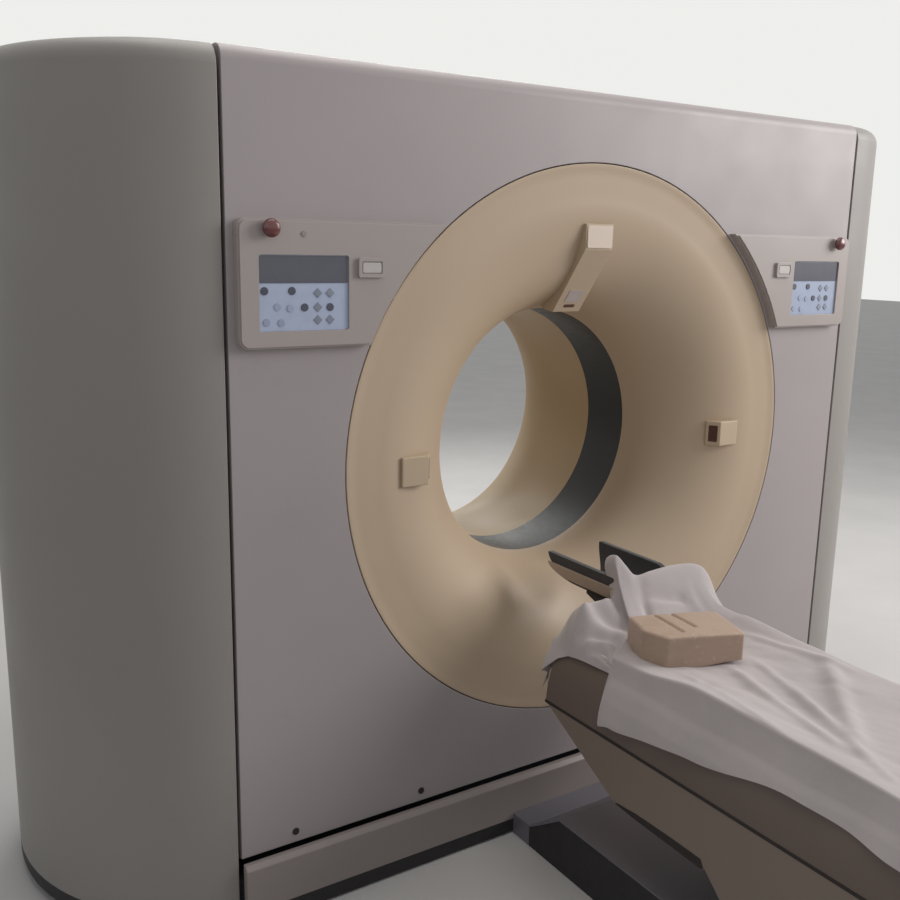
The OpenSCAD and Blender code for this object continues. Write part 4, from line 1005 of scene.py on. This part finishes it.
def head_point(share, drop):
    """The head end beyond the crest: drop runs from 0 on the crest to 1 at the free edge."""
    x, y, z = curve(CREST, share)
    loose = eased([(0.17, 1.0), (0.245, 0.0)], share)
    on_wall = eased([(0.25, 0.0), (0.28, 1.0), (0.36, 1.0), (0.42, 0.0)], share)
    back = 0.012 + 0.026 * on_wall
    fall = 0.050 - 0.024 * on_wall
    under = y + back * math.sin(math.pi * drop / 2)
    tucked = Vector((x + 0.006 * on_wall * drop, under, z - fall * drop ** 1.5))
    foot = 0.464 + 0.13 * min(1.0, share / NEAR_FLAP)
    fold = 0.006 * math.sin(share * 88) + 0.004 * math.sin(share * 39 + 1.0)
    ahead = eased([(0.0, y), (0.3, -0.545), (0.65, -0.503), (1.0, -0.482)], drop)
    fallen = eased([(0.0, 0.0), (0.3, 0.13), (0.65, 0.5), (1.0, 1.0)], drop)
    aside = x + 0.010 * drop * math.sin(share * 60)
    hung = Vector((aside, ahead + fold * drop * 0.6, z + (foot - z) * fallen))
    if hung.x < COVER_SIDE_X and hung.y < COVER_END_Y and hung.z < COVER_TOP_Z:
        hung.x = min(hung.x, -half_width(hung.z) - 0.002)
    return tucked.lerp(hung, loose)


# The sheet's end over the foot of the table, its columns and head rows, its rows' steps, and the width and
# length of its thread map
SHEET_FOOT = -2.36
SHEET_COLS = 150
HEAD_ROWS = 30
FINE_STEP = 0.003
FINE_END = -0.73
WIDE_STEP = 0.0085
SHEET_MAP = (0.72, 2.05)
CLOTH = 0.0012


def sheet_rows():
    """The sheet's points, row by row from its free head end to its foot."""
    shares = [i / SHEET_COLS for i in range(SHEET_COLS + 1)]
    rows = []
    for k in range(HEAD_ROWS, -1, -1):
        row = [head_point(s, k / HEAD_ROWS) for s in shares]
        for p in row:
            p.z += HEAD_RIPPLE * ripples(p.x, p.y, 3.0)
        rows.append(row)
    stations = []
    y = CREST_Y - FINE_STEP
    while y > SHEET_FOOT:
        stations.append(y)
        y -= FINE_STEP if y > FINE_END else WIDE_STEP
    for y in stations + [SHEET_FOOT]:
        row = []
        rise = curve(RISE, -y)[0]
        spread = curve(SPREAD, -y)[0]
        for s in shares:
            p = bed_point(s, y)
            x, crest_y, z = curve(CREST, s)
            p = Vector((p.x + (x - p.x) * spread, y + (crest_y - CREST_Y) * rise, p.z + (z - p.z) * rise))
            p.z += head_folds(s, y) + HEAD_RIPPLE * rise * ripples(p.x, p.y, 3.0)
            row.append(p)
        rows.append(row)
    return rows


def sheet_piece():
    """One cotton sheet: over the bed with both flaps, up behind the holder and down in front on the left."""
    bm = bmesh.new()
    layer = bm.loops.layers.uv.new("cloth")
    grid = [[bm.verts.new(p) for p in row] for row in sheet_rows()]
    uv = {}
    for j, row in enumerate(grid):
        for i, vert in enumerate(row):
            uv[vert] = (SHEET_MAP[0] * i / SHEET_COLS, SHEET_MAP[1] * j / len(grid))
    for upper, lower in zip(grid, grid[1:]):
        for i in range(SHEET_COLS):
            face = bm.faces.new((upper[i], lower[i], lower[i + 1], upper[i + 1]))
            for loop in face.loops:
                loop[layer].uv = uv[loop.vert]
    for _ in range(2):
        bmesh.ops.smooth_vert(bm, verts=bm.verts, factor=0.35, use_axis_x=True, use_axis_y=True,
                              use_axis_z=True)
    bm.normal_update()
    if sum(f.normal.z for f in bm.faces) < 0:
        bmesh.ops.reverse_faces(bm, faces=bm.faces)
    mesh = bpy.data.meshes.new("table_sheet_cloth")
    bm.to_mesh(mesh)
    bm.free()
    obj = piece("table_sheet_cloth", mesh, "sheet", "cradle")
    wall = obj.modifiers.new("cloth", "SOLIDIFY")
    wall.thickness = CLOTH
    wall.offset = 1.0
    settle(obj)
    smooth_by_angle(obj, 80)
    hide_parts("table_sheet")


sheet_piece()

FLOOR_HALF = 30
# What the world shows to the eye and to glossy surfaces, and the light that it gives
WORLD_SEEN = (0.86, 0.86, 0.84, 1)
WORLD_LIGHT = (0.92, 0.95, 1.0, 1)
WORLD_STRENGTH = 0.31
# Each lamp's place, the point it faces, its size, power and colour
LAMPS = {
    "key": ((4.0, -2.8, 3.0), (0.2, -0.3, 1.0), 2.6, 182, (1.0, 0.98, 0.97)),
    "fill": ((-3.6, -3.4, 2.6), (-0.4, 0.0, 0.9), 3.0, 9, (0.95, 0.98, 1.0)),
    "ceiling": ((-0.3, 0.2, 4.6), (-0.3, 0.0, 1.0), 3.0, 72, (1.0, 0.98, 0.94)),
    "back": ((1.5, 3.6, 3.2), (0.0, 0.3, 1.2), 2.6, 70, (1.0, 1.0, 0.97)),
}


def stage_and_lights():
    """Pale floor, the world and soft lamps."""
    mesh = bpy.data.meshes.new("floor")
    corners = [(x * FLOOR_HALF, y * FLOOR_HALF, 0) for x, y in ((-1, -1), (1, -1), (1, 1), (-1, 1))]
    mesh.from_pydata(corners, [], [(0, 1, 2, 3)])
    floor = linked("floor", mesh)
    paint = Finish("floor paint", srgb(206, 203, 200), 0.6)
    paint.tint(paint.noise(2.0), srgb(200, 197, 194))
    mesh.materials.append(paint.mat)

    world = bpy.data.worlds.new("studio")
    bpy.context.scene.world = world
    world.use_nodes = True
    tree = world.node_tree
    tree.nodes.clear()
    seen = wired(tree, "ShaderNodeBackground", {"Color": WORLD_SEEN})
    light = wired(tree, "ShaderNodeBackground", {"Color": WORLD_LIGHT, "Strength": WORLD_STRENGTH})
    ray = wired(tree, "ShaderNodeLightPath").outputs
    glass = wired(tree, "ShaderNodeMath", {0: ray["Is Glossy Ray"], 1: ray["Is Transmission Ray"]},
                  operation="MAXIMUM")
    either = wired(tree, "ShaderNodeMath", {0: ray["Is Camera Ray"], 1: glass.outputs[0]},
                   operation="MAXIMUM")
    mix = wired(tree, "ShaderNodeMixShader", {0: either.outputs[0], 1: light.outputs[0], 2: seen.outputs[0]})
    wired(tree, "ShaderNodeOutputWorld", {"Surface": mix.outputs[0]})

    for name, (place, aim, size, power, colour) in LAMPS.items():
        lamp = bpy.data.lights.new(name, "AREA")
        lamp.size = size
        lamp.energy = power
        lamp.color = colour
        obj = linked(name, lamp)
        obj.location = place
        obj.rotation_euler = (Vector(aim) - Vector(place)).to_track_quat("-Z", "Y").to_euler()


# The camera's turn to the right, down and about its own axis, in degrees, its place, and its lens in mm
CAMERA_TURN = (32.932, 11.651, -1.072)
CAMERA_AT = (-1.700, -2.280, 1.546)
CAMERA_LENS = 39.292
CAMERA_SENSOR = 36.0
CAMERA_REACH = 100


def camera():
    """The photograph's viewpoint, solved from the object's own lines."""
    yaw, pitch, roll = (math.radians(v) for v in CAMERA_TURN)
    ahead = Vector((math.sin(yaw) * math.cos(pitch), math.cos(yaw) * math.cos(pitch), -math.sin(pitch)))
    level = Vector((math.cos(yaw), -math.sin(yaw), 0.0))
    sheer = ahead.cross(level)
    right = math.cos(roll) * level + math.sin(roll) * sheer
    down = -math.sin(roll) * level + math.cos(roll) * sheer
    lens = bpy.data.cameras.new("camera")
    lens.lens = CAMERA_LENS
    lens.sensor_width = CAMERA_SENSOR
    lens.clip_end = CAMERA_REACH
    cam = linked("camera", lens)
    turn = Matrix((right, -down, -ahead)).transposed()
    cam.matrix_world = Matrix.Translation(CAMERA_AT) @ turn.to_4x4()
    bpy.context.scene.camera = cam


stage_and_lights()
camera()
bpy.context.scene.view_settings.view_transform = "Standard"
